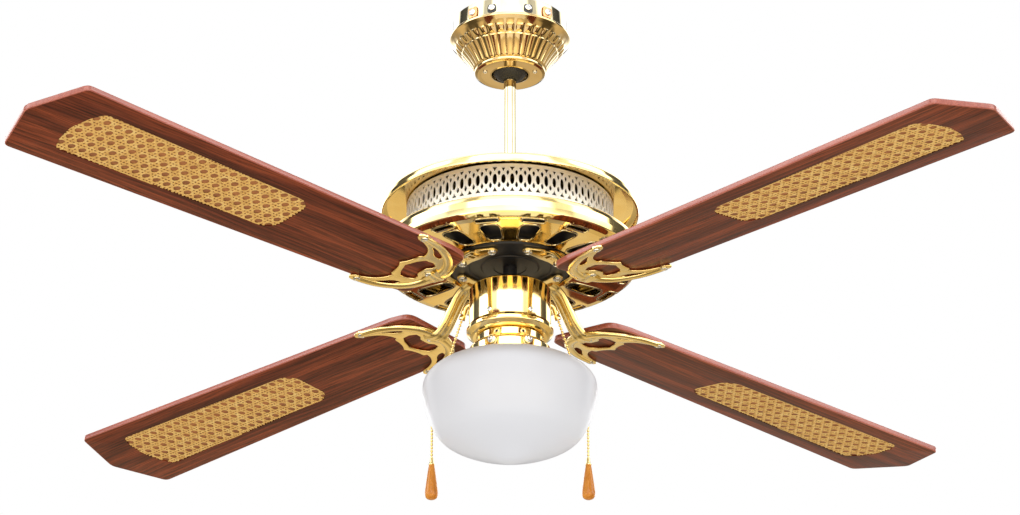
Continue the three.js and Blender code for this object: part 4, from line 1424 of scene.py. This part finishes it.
def build_world():
    """White behind the fan, and a studio of white cards and dark gaps for the brass to mirror."""
    world = bpy.data.worlds.new("studio")
    bpy.context.scene.world = world
    world.use_nodes = True
    world.node_tree.nodes.clear()
    nodes = Nodes(world.node_tree)
    math_of = nodes.math
    direction = nodes.coords.outputs["Generated"]
    east, north, up = nodes.add("SeparateXYZ", [direction]).outputs
    azimuth = math_of("ARCTAN2", east, math_of("MULTIPLY", north, -1.0))
    turn = math_of("DIVIDE", math_of("ABSOLUTE", azimuth), math.pi)
    height = math_of("MULTIPLY_ADD", up, 0.5, 0.5)
    high_cards = nodes.ramp(turn, [
        (0.00, 1.0), (0.19, 1.0), (0.22, 0.30), (0.30, 0.30), (0.33, 1.0), (0.52, 1.0), (0.55, 0.04),
        (0.68, 0.02), (0.73, 0.8), (0.91, 0.8), (0.94, 0.04), (1.0, 0.04),
    ])
    low_cards = nodes.ramp(turn, [
        (0.00, 1.0), (0.10, 0.9), (0.16, 0.45), (0.24, 0.9), (0.36, 1.0), (0.42, 0.08), (0.52, 0.05),
        (0.57, 0.9), (0.76, 0.75), (0.84, 0.35), (0.92, 0.8), (1.0, 0.9),
    ])
    upper = nodes.ramp(height, [(0.47, 0.0), (0.53, 1.0)])
    lower = math_of("SUBTRACT", 1.0, upper)
    cards = math_of("ADD", math_of("MULTIPLY", high_cards, upper), math_of("MULTIPLY", low_cards, lower))
    rise = nodes.ramp(height, [
        (0.0, 0.05), (0.08, 0.11), (0.20, 0.22), (0.33, 0.19), (0.45, 0.14), (0.55, 0.42), (0.64, 1.0),
        (0.80, 0.8), (1.0, 0.3),
    ])
    patches = nodes.ramp(nodes.noise(2.6, 2, source=direction), [(0.35, 0.7), (0.65, 1.0)])
    front = nodes.ramp(turn, [(0.0, 1.0), (0.26, 0.9), (0.34, 0.1), (1.0, 0.0)])
    floor_rise = nodes.ramp(height, [(0.10, 0.04), (0.24, 0.22), (0.34, 0.42), (0.50, 0.42), (0.56, 0.0)])
    lit_cards = math_of("ADD", math_of("MULTIPLY", cards, rise), math_of("MULTIPLY", front, floor_rise))
    pattern = math_of("MULTIPLY", lit_cards, patches)

    # Warm from below, as over a wooden floor, and neutral from the horizon up.
    warmth = nodes.ramp(height, [(0.08, 1.0), (0.36, 1.0), (0.50, 0.0)])
    green = math_of("MULTIPLY", pattern, math_of("MULTIPLY_ADD", warmth, -0.20, 1.0))
    blue = math_of("MULTIPLY", pattern, math_of("MULTIPLY_ADD", warmth, -0.52, 1.0))
    tinted = nodes.add("CombineXYZ", [pattern, green, blue]).outputs[0]

    mirrored = nodes.add("Background", [tinted, 5.4]).outputs[0]
    overhead = nodes.ramp(height, [(0.0, 0.8), (0.5, 0.95), (1.0, 1.0)])
    soft = nodes.add("Background", [overhead, 0.88]).outputs[0]
    white = nodes.add("Background", [(1, 1, 1, 1), 1.0]).outputs[0]
    ray = nodes.add("LightPath").outputs
    lit = nodes.add("MixShader", [ray["Is Glossy Ray"], soft, mirrored]).outputs[0]
    shown = nodes.add("MixShader", [ray["Is Camera Ray"], lit, white]).outputs[0]
    nodes.add("OutputWorld", [shown])


def build_floor():
    """A pale floor, low enough to leave the views from below clear."""
    half = 30
    drop = 4.6
    mesh = bpy.data.meshes.new("floor")
    corners = [(x * half, y * half, -drop) for x, y in ((-1, -1), (1, -1), (1, 1), (-1, 1))]
    mesh.from_pydata(corners, [], [(0, 1, 2, 3)])
    shader = Shader("pale_floor", Roughness=0.85)
    shader.paint(shader.noise(3, 3), (0.3, (0.78, 0.78, 0.78)), (0.7, (0.81, 0.81, 0.81)))
    mesh.materials.append(shader.material)
    floor = linked("floor", mesh)
    floor.visible_glossy = False


def build_studio():
    build_camera()
    build_world()
    build_floor()
    centre = (0, 0, -0.35)
    area_light("key_left", (-2.2, -2.6, -1.1), centre, 1.6, 1.6, 14)
    area_light("key_right", (2.2, -2.6, -1.1), centre, 1.6, 1.6, 14)
    area_light("under_fill", (0, -1.2, -2.4), centre, 2.2, 1.4, 8)
    area_light("top_soft", (0, 0.6, 2.4), centre, 2.4, 2.4, 18)
    scene = bpy.context.scene
    scene.view_settings.view_transform = "Standard"
    scene.view_settings.look = "None"


# ---- Everything -----------------------------------------------------------------------------

build_studio()
build_canopy()
build_collar()
build_downrod()
build_band()
build_housing()
build_rotor()
build_blades()
build_switch_housing()
build_fitter()
build_globe()
build_thumbscrews()
for chain_side, chain_turn in (("left", math.pi - CHAIN_ANGLE), ("right", CHAIN_ANGLE)):
    build_nozzle(chain_side, chain_turn)
    build_chain(chain_side, chain_turn, f"pull_{chain_side}")
paint_cad(STEEL, "hanger_bracket", "ball_pin", "coupling_pin", "upper_bearing")
# The lower bearing and the steel motor shaft are painted black: painted shade for the dark gap between the
# rotor and the switch cup
paint_cad(BLACK, "lower_bearing", "motor_shaft")
paint_cad(COPPER, "motor_stator")
paint_cad(WHITE_PLASTIC, "fan_switch", "light_switch", "lamp_socket")
paint_cad(BLACK_PLASTIC, "capacitor")
paint_cad(BULB, "light_bulb")
